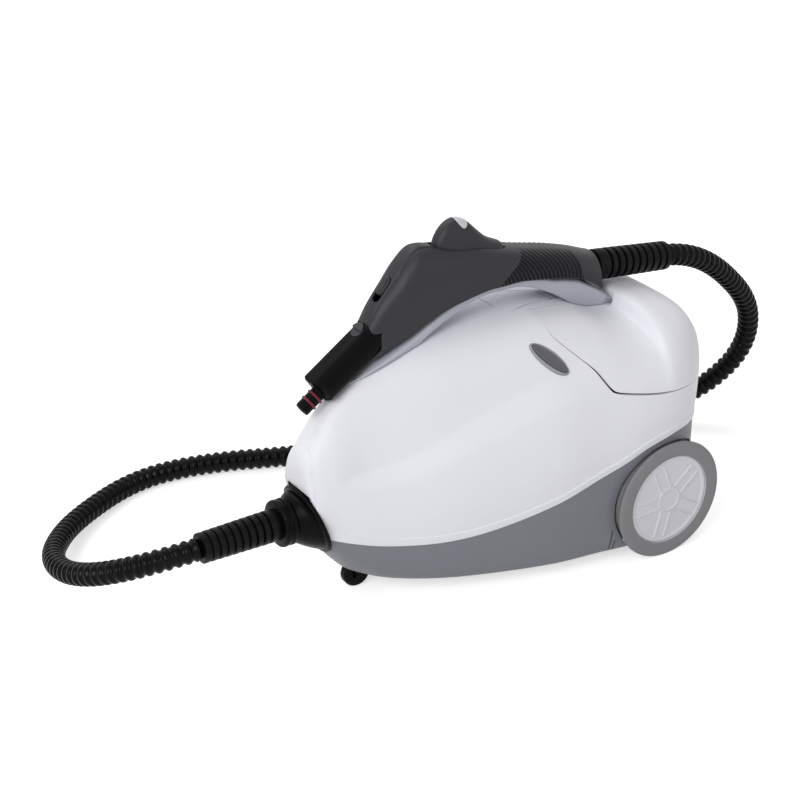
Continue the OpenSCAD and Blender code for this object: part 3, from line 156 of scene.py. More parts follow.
# quads between neighbouring rings of points; the end rings stay open, meet in a loop or get caps, fans to their middle
def gridPiece(name, points, ends="open", ring=True, sharp=38):
    nu, nv = points.shape[:2]
    i = np.arange(nu if ends == "loop" else nu - 1)[:, None]
    j = np.arange(nv if ring else nv - 1)[None, :]
    i2, j2 = (i + 1) % nu, (j + 1) % nv
    quads = np.stack(np.broadcast_arrays(i * nv + j, i * nv + j2, i2 * nv + j2, i2 * nv + j), -1)
    faces = quads.reshape(-1, 4).tolist()
    flat = points.reshape(-1, 3)
    k = np.arange(nv)
    for row in (0, nu - 1) if ends == "caps" else ():
        middle = np.full(nv, len(flat))
        flat = np.vstack([flat, points[row].mean(0)])
        faces += np.stack([row * nv + k, row * nv + np.roll(k, -1), middle], -1).tolist()
    return addPiece(name, flat, faces, sharp)


# straight solid: an outline in the plane of two axes, carried from low to high along the third
def prism(outline, origin, axes, low, high):
    o = np.asarray(outline, float)
    n = len(o)
    points = np.vstack([placed(np.column_stack([o, np.full(n, h)]), origin, *axes) for h in (low, high)])
    k = np.arange(n)
    sides = np.stack([k, (k + 1) % n, (k + 1) % n + n, k + n], -1).tolist()
    return addPiece("prism", points, sides + [k[::-1].tolist(), (k + n).tolist()])


def combine(obj, *tools, operation="DIFFERENCE", sharp=38):
    for tool in tools:
        cut = obj.modifiers.new("cut", "BOOLEAN")
        cut.operation, cut.solver, cut.object = operation, "EXACT", tool
        settled = obj.evaluated_get(bpy.context.evaluated_depsgraph_get())
        mesh = bpy.data.meshes.new_from_object(settled)
        obj.modifiers.clear()
        before = obj.data
        obj.data = mesh
        mesh.name = obj.name
        bpy.data.meshes.remove(before)
        bpy.data.objects.remove(tool)
        shade(obj, sharp)
    return obj


def joinPieces(obj, *others):
    work = bmesh.new()
    for part in (obj, *others):
        work.from_mesh(part.data)
    work.to_mesh(obj.data)
    work.free()
    for other in others:
        bpy.data.objects.remove(other)
    return obj


# points of a local grid carried into a frame of origin and three axes
def placed(local, origin, ux, uy, uz):
    p = np.asarray(local, float)
    return np.asarray(origin, float) + p[..., :1] * ux + p[..., 1:2] * uy + p[..., 2:3] * uz


# ring of points for each [radius, height] of a profile, turned about the third axis
def turned(profile, sides, origin, ux, uy, uz):
    p = np.asarray(profile, float)
    a = ringAngles(sides)
    local = np.stack([p[:, :1] * np.cos(a), p[:, :1] * np.sin(a), np.repeat(p[:, 1:2], sides, 1)], -1)
    return placed(local, origin, ux, uy, uz)


# arc round the origin, from one angle to another in quarter turns
def arcLine(radius, start, end, count):
    a = np.linspace(start, end, count) * np.pi / 2
    return np.stack([radius * np.cos(a), radius * np.sin(a)], -1)


# oval of two half circles on a straight middle
def ovalLine(length, width, per=28):
    right = arcLine(width / 2, -1, 1, per) + [(length - width) / 2, 0]
    return np.vstack([right, -right])


def ellipseLine(length, width, per=56):
    a = ringAngles(per)
    return np.stack([length / 2 * np.cos(a), width / 2 * np.sin(a)], -1)


# axes of a frame that a turn about Y by the angle, in degrees, makes of X, Y and Z
def turnedAxes(angle):
    a = math.radians(angle)
    return (np.array([math.cos(a), 0, -math.sin(a)]), np.array([0.0, 1, 0]),
            np.array([math.sin(a), 0, math.cos(a)]))


# axes for outlines seen from above, from the side and from behind
flatAxes = ([1, 0, 0], [0, 1, 0], [0, 0, 1])
sideAxes = ([1, 0, 0], [0, 0, 1], [0, 1, 0])
endAxes = ([0, 1, 0], [0, 0, 1], [1, 0, 0])


def roundTool(centre, radius, low, high, axes=flatAxes, sides=64):
    return prism(ellipseLine(2 * radius, 2 * radius, sides), centre, axes, low, high)


# points at stations along X, from grids of the other two coordinates
def sections(x, y, z):
    return np.stack(np.broadcast_arrays(x[:, None], y, z), -1)


# half sections that end on the middle plane, followed by their mirror image
def mirrored(half):
    return np.concatenate([half, half[:, -2::-1] * np.array([1, -1, 1])], 1)


# superellipse: the share of one half axis that is left at a share f of the other
def roundedShare(f, n):
    return np.clip(1 - f ** n, 0, 1) ** (1 / n)


# superellipse by angle, over half a turn: cosine and sine to the power of two by n
def halfRing(count, n):
    a = np.linspace(0, np.pi, count)[None, :]
    return np.sign(np.cos(a)) * np.abs(np.cos(a)) ** (2 / n), np.sin(a) ** (2 / n)


# inputs of a node by name or number: a socket is linked, anything else is set
def setInputs(node, inputs):
    for key, value in inputs.items():
        if isinstance(value, bpy.types.NodeSocket):
            node.id_data.links.new(value, node.inputs[key])
        else:
            node.inputs[key].default_value = value


def addNode(tree, kind, inputs=None, **settings):
    node = tree.nodes.new(kind)
    for key, value in settings.items():
        setattr(node, key, value)
    setInputs(node, inputs or {})
    return node


def newFinish(name):
    mat = bpy.data.materials.new(name)
    mat.use_nodes = True
    return mat, mat.node_tree, mat.node_tree.nodes["Principled BSDF"]


def noiseIn(tree, where, scale, detail):
    inputs = {"Vector": where.outputs["Object"], "Scale": scale, "Detail": detail}
    return addNode(tree, "ShaderNodeTexNoise", inputs).outputs["Fac"]


def mixedIn(tree, share, first, second):
    return addNode(tree, "ShaderNodeMix", {0: share, 6: first, 7: second}, data_type="RGBA").outputs[2]


def mathIn(tree, operation, first, second):
    return addNode(tree, "ShaderNodeMath", {0: first, 1: second}, operation=operation).outputs[0]


# moulded finish: two close colours by a slow noise, roughness by a finer one, and a grain in the bump; where asked,
# painted shade in the grip's grooves
def mouldedFinish(name, colour, darker, rough, spread, grain, grainScale, specular, slow=9, metallic=0, coat=0.0,
                  hollow=None):
    mat, tree, shader = newFinish(name)
    where = addNode(tree, "ShaderNodeTexCoord")
    tint = mixedIn(tree, noiseIn(tree, where, slow, 3.0), (*colour, 1), (*np.subtract(colour, darker), 1))
    if hollow:
        # the groove attribute is high in the grip's grooves, and the colour goes dark there: painted shade in the
        # grooves
        groove = addNode(tree, "ShaderNodeAttribute", attribute_name="groove")
        tint = mixedIn(tree, groove.outputs["Fac"], tint, (*hollow, 1))
    span = addNode(tree, "ShaderNodeMapRange", {"Value": noiseIn(tree, where, slow * 7, 4.0),
                                                "To Min": max(0.02, rough - spread), "To Max": rough + spread})
    bump = addNode(tree, "ShaderNodeBump", {"Height": noiseIn(tree, where, grainScale, 2.0), "Strength": grain,
                                            "Distance": 0.0002})
    setInputs(shader, {"Base Color": tint, "Roughness": span.outputs["Result"], "Normal": bump.outputs["Normal"],
                       "Metallic": metallic, "Coat Weight": coat, "Coat Roughness": 0.08,
                       "Specular IOR Level": specular})
    return mat


# name, colour and how much darker it gets, roughness, its spread, grain, its scale, specular level, what else differs
finishTable = {
    "shell_white": ("glossyWhite", (0.775, 0.775, 0.830), (0.015, 0.015, 0.013), 0.44, 0.03, 0.02, 900, 0.35,
                    {"slow": 4, "coat": 0.04}),
    "base_grey": ("satinGrey", (0.185, 0.190, 0.215), 0.01, 0.48, 0.04, 0.08, 1700, 0.35, {}),
    "handle_grey": ("satinBlueGrey", (0.43, 0.45, 0.51), 0.02, 0.42, 0.04, 0.05, 1500, 0.35, {}),
    "hub_pale": ("paleHub", (0.66, 0.65, 0.70), 0.02, 0.38, 0.04, 0.04, 1500, 0.35, {}),
    "wheel_tyre": ("greyTread", (0.225, 0.225, 0.235), 0.015, 0.58, 0.06, 0.12, 1300, 0.3, {}),
    # the gun's finish darkens its grip grooves to near black: painted shade
    "gun_charcoal": ("satinCharcoal", (0.031, 0.030, 0.035), 0.004, 0.44, 0.05, 0.10, 1800, 0.22,
                     {"hollow": (0.003, 0.003, 0.004)}),
    "black_plastic": ("satinBlack", (0.0022, 0.0022, 0.0028), 0.0004, 0.36, 0.05, 0.08, 1700, 0.06, {}),
    "hose_black": ("glossyBlack", (0.0026, 0.0026, 0.0032), 0.0006, 0.22, 0.04, 0.04, 1200, 0.09, {}),
    "sleeve_black": ("softBlack", (0.0028, 0.0028, 0.0034), 0.0006, 0.4, 0.06, 0.10, 1500, 0.10, {}),
    "insert_silver": ("brightInsert", (0.60, 0.60, 0.62), 0.04, 0.22, 0.03, 0.02, 900, 0.5, {"coat": 0.3}),
    "seal_red": ("redSeal", (0.17, 0.013, 0.024), (0.03, 0.003, 0.005), 0.4, 0.06, 0.05, 1400, 0.3, {}),
    "steel": ("brushedSteel", (0.58, 0.59, 0.61), 0.06, 0.32, 0.08, 0.06, 1100, 0.5, {"metallic": 1}),
    "brass": ("machinedBrass", (0.62, 0.45, 0.19), (0.06, 0.05, 0.03), 0.3, 0.07, 0.05, 1000, 0.5, {"metallic": 1}),
    "button_grey": ("satinButton", (0.105, 0.105, 0.122), 0.01, 0.36, 0.04, 0.06, 1500, 0.35, {}),
    "bezel_grey": ("satinBezel", (0.31, 0.32, 0.35), 0.02, 0.36, 0.04, 0.06, 1500, 0.35, {}),
}
finishes = {slotName: mouldedFinish(*row[:-1], **row[-1]) for slotName, row in finishTable.items()}


def paint(obj, slotName):
    obj.data.materials.clear()
    obj.data.materials.append(finishes[slotName])


# the finish, the body and the CAD nodes that a finished piece stands for
def dress(obj, slotName, body, *stands):
    paint(obj, slotName)
    if body:
        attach(obj, body)
    if stands:
        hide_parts(*stands)
    return obj


# hose: ribs whose radius follows a rounded wave along the route
hoseForm = {
    "radius": 11.0, "ribDepth": 2.2, "ribs": 154, "perRib": 10, "sides": 28, "plainEnd": 2.0, "steps": 24,
    "gunEnd": (227.176, 0, 252.385), "noseEnd": (-287, 0, 91), "pitch": 6.5, "gunReach": 45, "noseReach": 58,
    "route": [[268, 3, 236], [304, 9, 217], [341, 17, 189], [369, 26, 157], [383, 35, 126], [386, 45, 97],
              [377, 56, 71], [358, 72, 46], [328, 92, 26], [292, 114, 15], [245, 137, 11.5], [190, 152, 11.5],
              [120, 167, 11.5], [40, 191, 11.5], [-25, 217, 11.5], [-83, 241, 11.5], [-127, 259, 11.5],
              [-176, 271, 11.5], [-220, 270, 11.5], [-266, 252, 13], [-321, 213, 18], [-359, 162, 28],
              [-372, 110, 41], [-362, 65, 56], [-340, 30, 72]],
    "reference": (0.2, 0.75, 0.6),
}


# one bend: the cubic with a slope of three times the reach along the heading at each end
def bendPoints(start, heading, goal, goalHeading, reach, count=40):
    t = np.linspace(0, 1, count)[:, None]
    return cubicAt(np.array(start), np.array(goal), 3 * reach * heading, 3 * reach * goalHeading, t)


# tube: rings square to the centre line, each of its own radius
def tubePiece(name, centre, radius, sides, reference):
    along = unit(np.gradient(centre, axis=0))
    side = unit(np.cross(along, np.array(reference)))[:, None]
    up = np.cross(along[:, None], side)
    turn = ringAngles(sides)[None, :, None]
    points = centre[:, None] + radius[:, None, None] * (np.cos(turn) * side + np.sin(turn) * up)
    return gridPiece(name, points, "caps", sharp=60)


def makeHose(h):
    a = math.radians(h["pitch"])
    route = np.array(h["route"], float)
    heading = unit(route[2:] - route[:-2])
    lead = bendPoints(h["gunEnd"], np.array([math.cos(a), 0, -math.sin(a)]), route[2], heading[1], h["gunReach"])
    tail = bendPoints(h["noseEnd"], np.array([-1.0, 0, 0]), route[-3], -heading[-2], h["noseReach"])
    # middle of the route: the stretch of the smooth loop in which its wrapped ends have no part
    steps = h["steps"]
    middle = smoothLoop(route[None], steps)[0, 2 * steps:(len(route) - 3) * steps + 1]
    line = np.vstack([lead[:-1], middle, tail[-2::-1]])
    run = np.concatenate([[0], np.cumsum(np.linalg.norm(np.diff(line, axis=0), axis=1))])
    total = run[-1]
    place = np.linspace(0, total, h["ribs"] * h["perRib"] + 1)
    centre = np.stack([np.interp(place, run, line[:, k]) for k in range(3)], -1)
    # radius: half a raised cosine to a power over one, so that ribs are broad and grooves narrow
    wave = (0.5 + 0.5 * np.cos(2 * np.pi * place * h["ribs"] / total)) ** 1.6
    plain = smoothStep(np.minimum(place, total - place) / (3 * h["plainEnd"]))
    radius = h["radius"] - h["ribDepth"] * np.maximum(wave, 1 - plain)
    return tubePiece("ribbedHose", centre, radius, h["sides"], h["reference"]), centre[::-2 * h["perRib"]], total


hose, hoseLine, hoseLength = makeHose(hoseForm)


# bend sleeve: a turned profile of a plain root and ribs, each a little smaller; length, root and foot of the two
sleeveForm = {"radius": 15.0, "ribs": 9, "groove": 3.0, "taper": 0.12, "bore": 6.5, "tip": 11.5, "sides": 56,
              "gun": (89, 12, (138.4, 0, 262.5)), "nose": (76, 10, (-211, 0, 91))}


def sleeveProfile(s, length, root):
    pitch = (length - root) / s["ribs"]
    q = np.linspace(0, s["ribs"], s["ribs"] * 22 + 1)[:-1]
    share, number = q % 1, np.floor(q)
    outer = s["radius"] - s["taper"] * number
    dip = smoothStep(share / 0.1) * (1 - smoothStep((share - 0.3) / 0.12))
    ribbed = np.stack([outer - (outer - s["radius"] + s["groove"]) * dip, root + pitch * q], -1)
    head = [[s["bore"], 0], [s["radius"] - 1.2, 0], [s["radius"] - 0.35, 0.35], [s["radius"], 1.2]]
    last = ribbed[-1, 0]
    tip = [[last - 0.5, length - 0.7], [last - 1.3, length - 0.1], [s["tip"], length], [s["bore"], length]]
    return np.vstack([head, ribbed, tip])


def makeSleeve(name, place, axes):
    length, root, origin = sleeveForm[place]
    profile = sleeveProfile(sleeveForm, length, root)
    return gridPiece(name, turned(profile, sleeveForm["sides"], origin, *axes), "loop")


gunCuff = makeSleeve("gunCuff", "gun", turnedAxes(90 + hoseForm["pitch"]))
noseCuff = makeSleeve("noseCuff", "nose", turnedAxes(-90))
dress(gunCuff, "sleeve_black", "gun", "gun_cuff")
dress(noseCuff, "sleeve_black", "root", "nose_cuff")
dress(hose, "hose_black", None, "hose")
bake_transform(hose)
print("hose:", round(hoseLength), "mm")

# body: the curves of the two shells, as [distance from the middle, value]
bodyForm = {
    "top": [[-189, 142], [-186, 155], [-178, 170], [-158, 195], [-128, 217], [-74, 239], [-20, 248], [20, 251],
            [50, 250.5], [90, 243], [120, 231.5], [150, 228], [206, 212]],
    "cover": [[40, 251], [90, 243.5], [120, 233], [142, 231], [150, 241], [170, 240.5], [186, 237.5],
              [198, 231], [206, 216]],
    "plan": [[-189, 20], [-181, 27], [-168, 31], [-156, 35], [-120, 47], [-72, 66], [-27, 81], [33, 98],
             [79, 104.5], [100, 108.5], [120, 111.5], [150, 112], [168, 108.5], [184, 101], [198, 90], [206, 76]],
    "seam": [[-189, 84], [-156, 71], [-120, 62], [-72, 60], [-27, 66], [33, 83], [79, 100], [101, 109],
             [123, 119.5], [149, 126], [164, 128], [184, 127], [206, 125]],
    "chin": [[-189, 62], [-168, 41], [-156, 26], [-143, 12.5], [-128, 4], [-112, 0.6], [-100, 0], [-88, 0],
             [206, 0]],
    "tumble": [[-189, 2], [-140, 2], [-124, 2.4], [-95, 4.2], [-52, 8], [13, 14], [83, 20], [206, 20]],
    "shoulder": [[-189, 2.2], [-150, 2.3], [-110, 2.5], [-60, 2.75], [60, 2.9], [120, 3], [150, 3.6], [165, 4],
                 [206, 5]],
    "stepLow": [[-189, 0.42], [-146, 0.40], [-110, 0.40], [-77, 0.44], [-47, 0.487], [7, 0.547], [60, 0.60],
                [206, 0.66]],
    "stepHigh": [[-189, 0.50], [-146, 0.50], [-120, 0.50], [-95, 0.52], [-43, 0.606], [10, 0.68], [60, 0.74],
                 [206, 0.78]],
    "stepFade": [[-165, 0], [-130, 1], [0, 1], [75, 0]],
    "from": -189, "to": 206, "baseZ": 13.0, "wall": 2.6, "edge": 2.2, "innerEdge": 0.5, "bulge": 4.6, "bulgeH": 60.0,
    "bulgeW": 70, "lipH": 8.0, "lipT": 1.0, "step": 7.0, "seamGap": 0.4, "easeFrom": 24, "ease": 16,
}


def bodyAt(key, x):
    return curveAt(bodyForm[key], x)


# stations that crowd towards both ends, where the body rounds off
def stations(low, high, count):
    t = np.linspace(0, 1, count)
    return low + (high - low) * (0.35 * t + 0.65 * (0.5 - 0.5 * np.cos(np.pi * t)))


# rows of height shares: even up to the first, then by angle on the superellipse so that the crown stays smooth
def shareRows(n, first, lowRows, highRows):
    low = np.linspace(0, 1, lowRows)[None, :] * first
    a0 = np.arcsin(np.clip(first, 0, 1) ** (n / 2))
    a = a0 + (np.pi / 2 - a0) * np.linspace(0, 1, highRows + 1)[None, 1:]
    return np.concatenate([low + 0 * n, np.sin(a) ** (2 / n)], 1)


# half width at a height share: superellipse, plus a bulge over the seam and the lip, less the moulded step
def shellHalf(x, f, h, inset):
    n, w, low, high, fade = (bodyAt(k, x)[:, None] for k in ("shoulder", "plan", "stepLow", "stepHigh", "stepFade"))
    b, rise = bodyForm, f * h[:, None]
    step = fade * np.minimum(np.clip((f - low) / (high - low), 0, 1), (1 - f) / (1 - high))
    bulge = b["bulge"] * np.minimum(1, w / b["bulgeW"]) * np.maximum(0, 1 - (rise / b["bulgeH"] - 1) ** 2)
    bulge = bulge * (1 - smoothStep((f - 0.8) / 0.2))
    lip = b["lipT"] * (1 - smoothStep((rise - b["lipH"] + 0.2) / 0.7)) * smoothStep(rise + 0.5)
    return (w - inset) * roundedShare(f, n) + bulge + (lip if inset == 0 else 0) - b["step"] * step


# outline over the top at each station, from the left seam to the right one
def shellGrid(x, inner, topKey):
    z0 = bodyAt("seam", x)
    h = bodyAt(topKey, x) - z0
    inset, rows = (bodyForm["wall"], (6, 26)) if inner else (0, (20, 90))
    f = shareRows(bodyAt("shoulder", x)[:, None], (bodyForm["lipH"] + 2.5) / h[:, None], *rows)
    y = shellHalf(x, f, h, inset)
    y[:, -1] = 0
    return mirrored(sections(x, -y, z0[:, None] + (h[:, None] - inset) * f))


# height of the plain shell at a distance from the middle plane
def shellHeight(x, y, topKey):
    z0 = bodyAt("seam", x)
    return z0 + (bodyAt(topKey, x) - z0) * roundedShare(np.abs(y) / bodyAt("plan", x), bodyAt("shoulder", x))


# end wall: the end outline drawn in towards the middle of its seam line, with a rounded edge
def endWall(ring, side, edge, flat=(0.8, 0.5, 0.2, 0)):
    a = np.linspace(0, np.pi / 2, 6)[1:]
    reach = ring[:, 1].max()
    inset = edge * (1 - np.cos(a))
    k = np.concatenate([1 - inset / reach, np.array(flat) * (1 - edge / reach)])[:, None]
    shift = np.concatenate([edge * np.sin(a), np.full(len(flat), edge)])[:, None] * side
    z0 = ring[0, 2]
    rows = np.stack([ring[None, :, 0] + shift, ring[None, :, 1] * k, z0 + (ring[None, :, 2] - z0) * k], -1)
    return rows if side > 0 else rows[::-1]


def walled(grid, front, rear):
    return np.concatenate([endWall(grid[0], -1, front), grid, endWall(grid[-1], 1, rear)], 0)


# closed skin between an outer and an inner grid, rims and end walls included
def bodySkin(name, low, high, count, grid, *key, front=bodyForm["edge"]):
    edge, thin = bodyForm["edge"], bodyForm["innerEdge"]
    inside = bodyForm["wall"] + thin
    outer = walled(grid(stations(low + front, high - edge, count), False, *key), front, edge)
    inner = walled(grid(stations(low + inside, high - inside, count), True, *key), thin, thin)
    return gridPiece(name, np.concatenate([outer, inner[:, ::-1]], 1))


# nose plane: everything ahead of the tilted flange goes
noseForm = {"centre": (-176, 0, 87), "tilt": 18, "flange": 35.5, "couplingX": -211, "couplingL": 13, "hoseZ": 91,
            "bore": 8.5, "neck": 20}
noseAxes = turnedAxes(-90 - noseForm["tilt"])


def noseTool():
    square = [[-300, -220], [300, -220], [300, 220], [-300, 220]]
    return prism(square, noseForm["centre"], noseAxes, -0.4, 400)


wheelForm = {"radius": 60, "track": 238, "x": 151, "gap": -1.8, "lift": 0.6, "wellFrom": 91, "axleHole": 4,
             "hubY": 117.0}


def wellTool(side):
    w = wheelForm
    return roundTool((w["x"], 0, w["radius"] + w["lift"]), w["radius"] + w["gap"], w["wellFrom"], 240,
                     ([1, 0, 0], [0, 0, 1], [0, side, 0]), 160)


# rear cover: a slanted seam that bends round its knee, clear of the strip under the handle
coverForm = {"strip": 27, "stripEnd": 149, "corner": 8, "from": 44, "gap": 1.4,
             "tight": 0.4, "knee": (0.9, 66, 16), "rear": (0.6, 130, 50),
             "flange": {"half": 24, "drop": 16, "under": 1.2, "low": 0.1, "high": 1.7},
             "seam": [[46, 262], [46, 237], [48, 233], [60, 220.5], [74, 207], [78, 202], [84.5, 191], [88, 186],
                      [91, 184], [98, 182], [112, 179.3], [134, 175.5], [170, 173.8], [206, 172], [230, 170.9]]}


def coverTool(gap):
    line = cutCorners(coverForm["seam"], 3)
    slope = np.gradient(line, axis=0)
    normal = unit(np.stack([slope[:, 1], -slope[:, 0]], -1))
    # the joint is tight at the front, widest round the knee and narrower again at the rear
    more, less = (share * smoothStep((line[:, 0] - begin) / run)
                  for share, begin, run in (coverForm["knee"], coverForm["rear"]))
    width = coverForm["tight"] + more - less
    grown = line + gap * width[:, None] * normal
    outline = np.vstack([grown, [[420, grown[-1, 1]], [420, 420], [grown[0, 0], 420]]])
    tool = prism(outline, (0, 0, 0), sideAxes, -220, 220)
    half, end, corner = coverForm["strip"] - gap, coverForm["stripEnd"] - gap, coverForm["corner"]
    arc = arcLine(corner, 0, 1, 9) + [end - corner, half - corner]
    plan = np.vstack([[[-300, -half]], (arc * [1, -1])[::-1], arc, [[-300, half]]])
    return combine(tool, prism(plan, (0, 0, 0), flatAxes, -20, 450))


# closed outline with each corner swapped for a short parabola between points at the reach from the corner
def roundedLine(points, reach, per=7):
    p = np.asarray(points, float)
    a, b = (p + reach * unit(np.roll(p, k, axis=0) - p) for k in (1, -1))
    t = np.linspace(0, 1, per)[None, :, None]
    return ((1 - t) ** 2 * a[:, None] + 2 * t * (1 - t) * p[:, None] + t ** 2 * b[:, None]).reshape(-1, 2)


# filler flap: a straight front edge, sides that draw in towards the hinge, and half rounds about its pin
flapForm = {"plan": [[20, -20.5], [30, -22.5], [84, -10], [84, 10], [30, 22.5], [20, 20.5]], "round": 4,
            "middle": (46.0, 0), "half": 24, "gap": 0.85, "shift": 1.8, "skin": (-20, 130), "pinX": 79,
            "pinZ": 238.908,
            "knuckle": {"radius": 3, "from": 2, "corners": [[3, 5.2], [-3, 5.2]], "y": 7, "width": 4},
            "lug": {"radius": 2.6, "from": 1, "corners": [[16, -2.6], [16, 3.4], [9, 4.4], [7, 1]], "y": 10.775,
                    "width": 2.5}}


def flapTool(gap, shift=0.0):
    middle = np.array(flapForm["middle"])
    grown = middle + (np.array(flapForm["plan"]) - middle) * (1 + gap / flapForm["half"])
    line = roundedLine(grown, flapForm["round"])
    return prism(line + [shift, 0], (0, 0, 0), flatAxes, 150, 400)


def hingePair(part):
    line = np.vstack([arcLine(part["radius"], part["from"], part["from"] + 2, 17), part["corners"]])
    half = part["width"] / 2
    x, z = flapForm["pinX"], flapForm["pinZ"]
    return [prism(line, (x, side * part["y"], z), sideAxes, -half, half) for side in (-1, 1)]


# power button frame: leaned over the left shoulder, then turned on its face
buttonForm = {"x": 36.0, "share": 0.81, "lean": 48, "slant": 52.8, "length": 44, "width": 15, "rim": 1.6, "gap": 0.35,
              "depth": 6.6, "proud": 2.6, "rimProud": 1.0, "rimDepth": 12, "edge": 1.4, "dish": 0.9, "cut": 9}


def buttonPoint(b):
    x, f = np.array([b["x"]]), np.array([[b["share"]]])
    z0 = bodyAt("seam", x)
    h = bodyAt("top", x) - z0
    return np.array([b["x"], -shellHalf(x, f, h, 0)[0, 0], z0[0] + b["share"] * h[0]])


buttonAt = buttonPoint(buttonForm)


def buttonAxes():
    b, s = math.radians(buttonForm["lean"]), math.radians(-buttonForm["slant"])
    x, y, z = (np.array(v) for v in ((1, 0, 0), (0, math.cos(b), math.sin(b)), (0, -math.sin(b), math.cos(b))))
    return math.cos(s) * x + math.sin(s) * y, -math.sin(s) * x + math.cos(s) * y, z


def buttonTool(b):
    line = ellipseLine(b["length"] + 2 * b["gap"], b["width"] + 2 * b["gap"])
    return prism(line, buttonAt, buttonAxes(), -b["cut"], b["cut"])


upperShell = bodySkin("upperShell", bodyForm["from"], bodyForm["to"], 170, shellGrid, "top", front=7)
combine(upperShell, coverTool(coverForm["gap"]), flapTool(flapForm["gap"]),
        flapTool(flapForm["gap"], flapForm["shift"]), buttonTool(buttonForm), wellTool(-1), wellTool(1), noseTool())
joinPieces(upperShell, *hingePair(flapForm["lug"]))
dress(upperShell, "shell_white", "root", "upper_shell")

rearCover = bodySkin("rearCover", coverForm["from"], bodyForm["to"], 110, shellGrid, "cover")
combine(rearCover, coverTool(0.0), operation="INTERSECT")


# flange under the cover's skin behind the handle's end, along the section of the cover there
def coverFlange(x, half, drop, under, low, high):
    y = np.linspace(-half, half, 27)
    top = shellHeight(x, y, "cover") - under
    line = np.vstack([np.stack([y, top], -1), np.stack([y, top - drop], -1)[::-1]])
    return prism(line, (x, 0, 0), endAxes, low, high)


joinPieces(rearCover, coverFlange(coverForm["stripEnd"], **coverForm["flange"]))
dress(rearCover, "shell_white", "cover", "rear_cover")

fillerFlap = bodySkin("fillerFlap", *flapForm["skin"], 70, shellGrid, "top")
combine(fillerFlap, flapTool(0.0), operation="INTERSECT")
joinPieces(fillerFlap, *hingePair(flapForm["knuckle"]))
dress(fillerFlap, "shell_white", "flap", "filler_flap")
print("white shells done")

# base: what is cut out of it for the caster, the cord's gland and three slanted grooves ahead of each wheel
baseForm = {"casterX": -120, "pocket": 24.5, "pocketTop": 33, "pocketRoof": 44, "bush": 8, "gland": (206, 45, 42),
            "glandR": 8, "ventX": 87.7, "ventY": 106, "ventPitch": 4.1, "ventHalf": 0.8, "ventTops": (40, 29, 18),
            "ventLean": 6.5, "ventDepth": (-2.2, 8)}


# superellipse below the seam, from an even upper part to a rounded floor edge
def tubGrid(x, inner):
    b = bodyForm
    z0 = bodyAt("seam", x) - b["seamGap"]
    w, zb = bodyAt("plan", x), b["baseZ"] + bodyAt("chin", x)
    if inner:
        # the inside keeps clear of the wheel wells and of the caster's pocket
        w, zb = w - b["wall"], zb + b["wall"]
        well = smoothStep((x - wheelForm["x"] + wheelForm["radius"] + b["easeFrom"]) / b["ease"])
        w = np.minimum(w, w + (wheelForm["wellFrom"] - b["wall"] - w) * well)
        pocket = smoothStep((baseForm["casterX"] + baseForm["pocket"] + b["easeFrom"] - x) / b["ease"])
        zb = np.maximum(zb, zb + (baseForm["pocketRoof"] - zb) * pocket)
    zb = np.minimum(zb, z0 - 3)
    n = bodyAt("tumble", x)[:, None]
    f = shareRows(n, 0.7, 15, 36)
    y = w[:, None] * roundedShare(f, n)
    y[:, -1] = 0
    return mirrored(sections(x, y, z0[:, None] + (zb - z0)[:, None] * f))


# three slanted grooves, the front one longest
def ventTools(v, side):
    across, _, tall = turnedAxes(v["ventLean"])
    half = v["ventHalf"]
    for i, top in enumerate(v["ventTops"]):
        groove = [[-half, -top], [half, -top], [half, top - half], [0, top], [-half, top - half]]
        yield prism(groove, (v["ventX"] + v["ventPitch"] * i, side * v["ventY"], 0),
                    (across, tall, [0, side, 0]), *v["ventDepth"])


def makeBase(b):
    caster = (b["casterX"], 0, 0)
    base = bodySkin("baseTub", bodyForm["from"], bodyForm["to"], 150, tubGrid)
    return combine(base, wellTool(-1), wellTool(1), noseTool(), roundTool(caster, b["pocket"], -5, b["pocketTop"]),
                   roundTool(caster, b["bush"], 20, 120), roundTool(b["gland"], b["glandR"], -40, 40, endAxes),
                   roundTool((wheelForm["x"], 0, wheelForm["radius"]), wheelForm["axleHole"], -200, 200, sideAxes),
                   *ventTools(b, -1), *ventTools(b, 1))


dress(makeBase(baseForm), "base_grey", "root", "base_tub")
print("base done")

# carry handle: rings through the CAD's control points, smoothed round the section
handleForm = {
    "rise": [[-136, 0.04], [-128, 0.08], [-100, 0.18], [-70, 0.36], [-35, 0.79], [0, 1], [20, 1], [40, 0.97],
             [65, 0.83], [90, 0.62], [115, 0.42], [132, 0.26], [142, 0.16]],
    "arch": [[-70, 0], [-40, 0.55], [-6, 1], [20, 1], [40, 0.92], [61, 0.68], [80, 0.36], [95, 0.08], [101, 0]],
    "plan": [[-136, 0.25], [-128, 0.55], [-110, 0.85], [-85, 1], [125, 1.04], [138, 1.08], [142, 1.02]],
    "width": 40, "thick": 13, "room": 20, "seat": -0.3, "from": -136, "to": 147.9, "fill": (60, 20),
    "drop": (141.5, 6.4, 0.8),
}


def handleTop(x):
    return bodyAt("top", x) + (handleForm["room"] + handleForm["thick"]) * curveAt(handleForm["rise"], x)


# top of the handle as shown: behind the grip it fills the room under the gun's skirt, then drops to its end
def handleShown(x):
    (start, length), (edge, fall, share) = handleForm["fill"], handleForm["drop"]
    room = np.maximum(gunSkirt(x) - 0.5 - handleTop(x), 0) * smoothStep((x - start) / length)
    return handleTop(x) + room * (1 - share * smoothStep((x - edge) / fall))


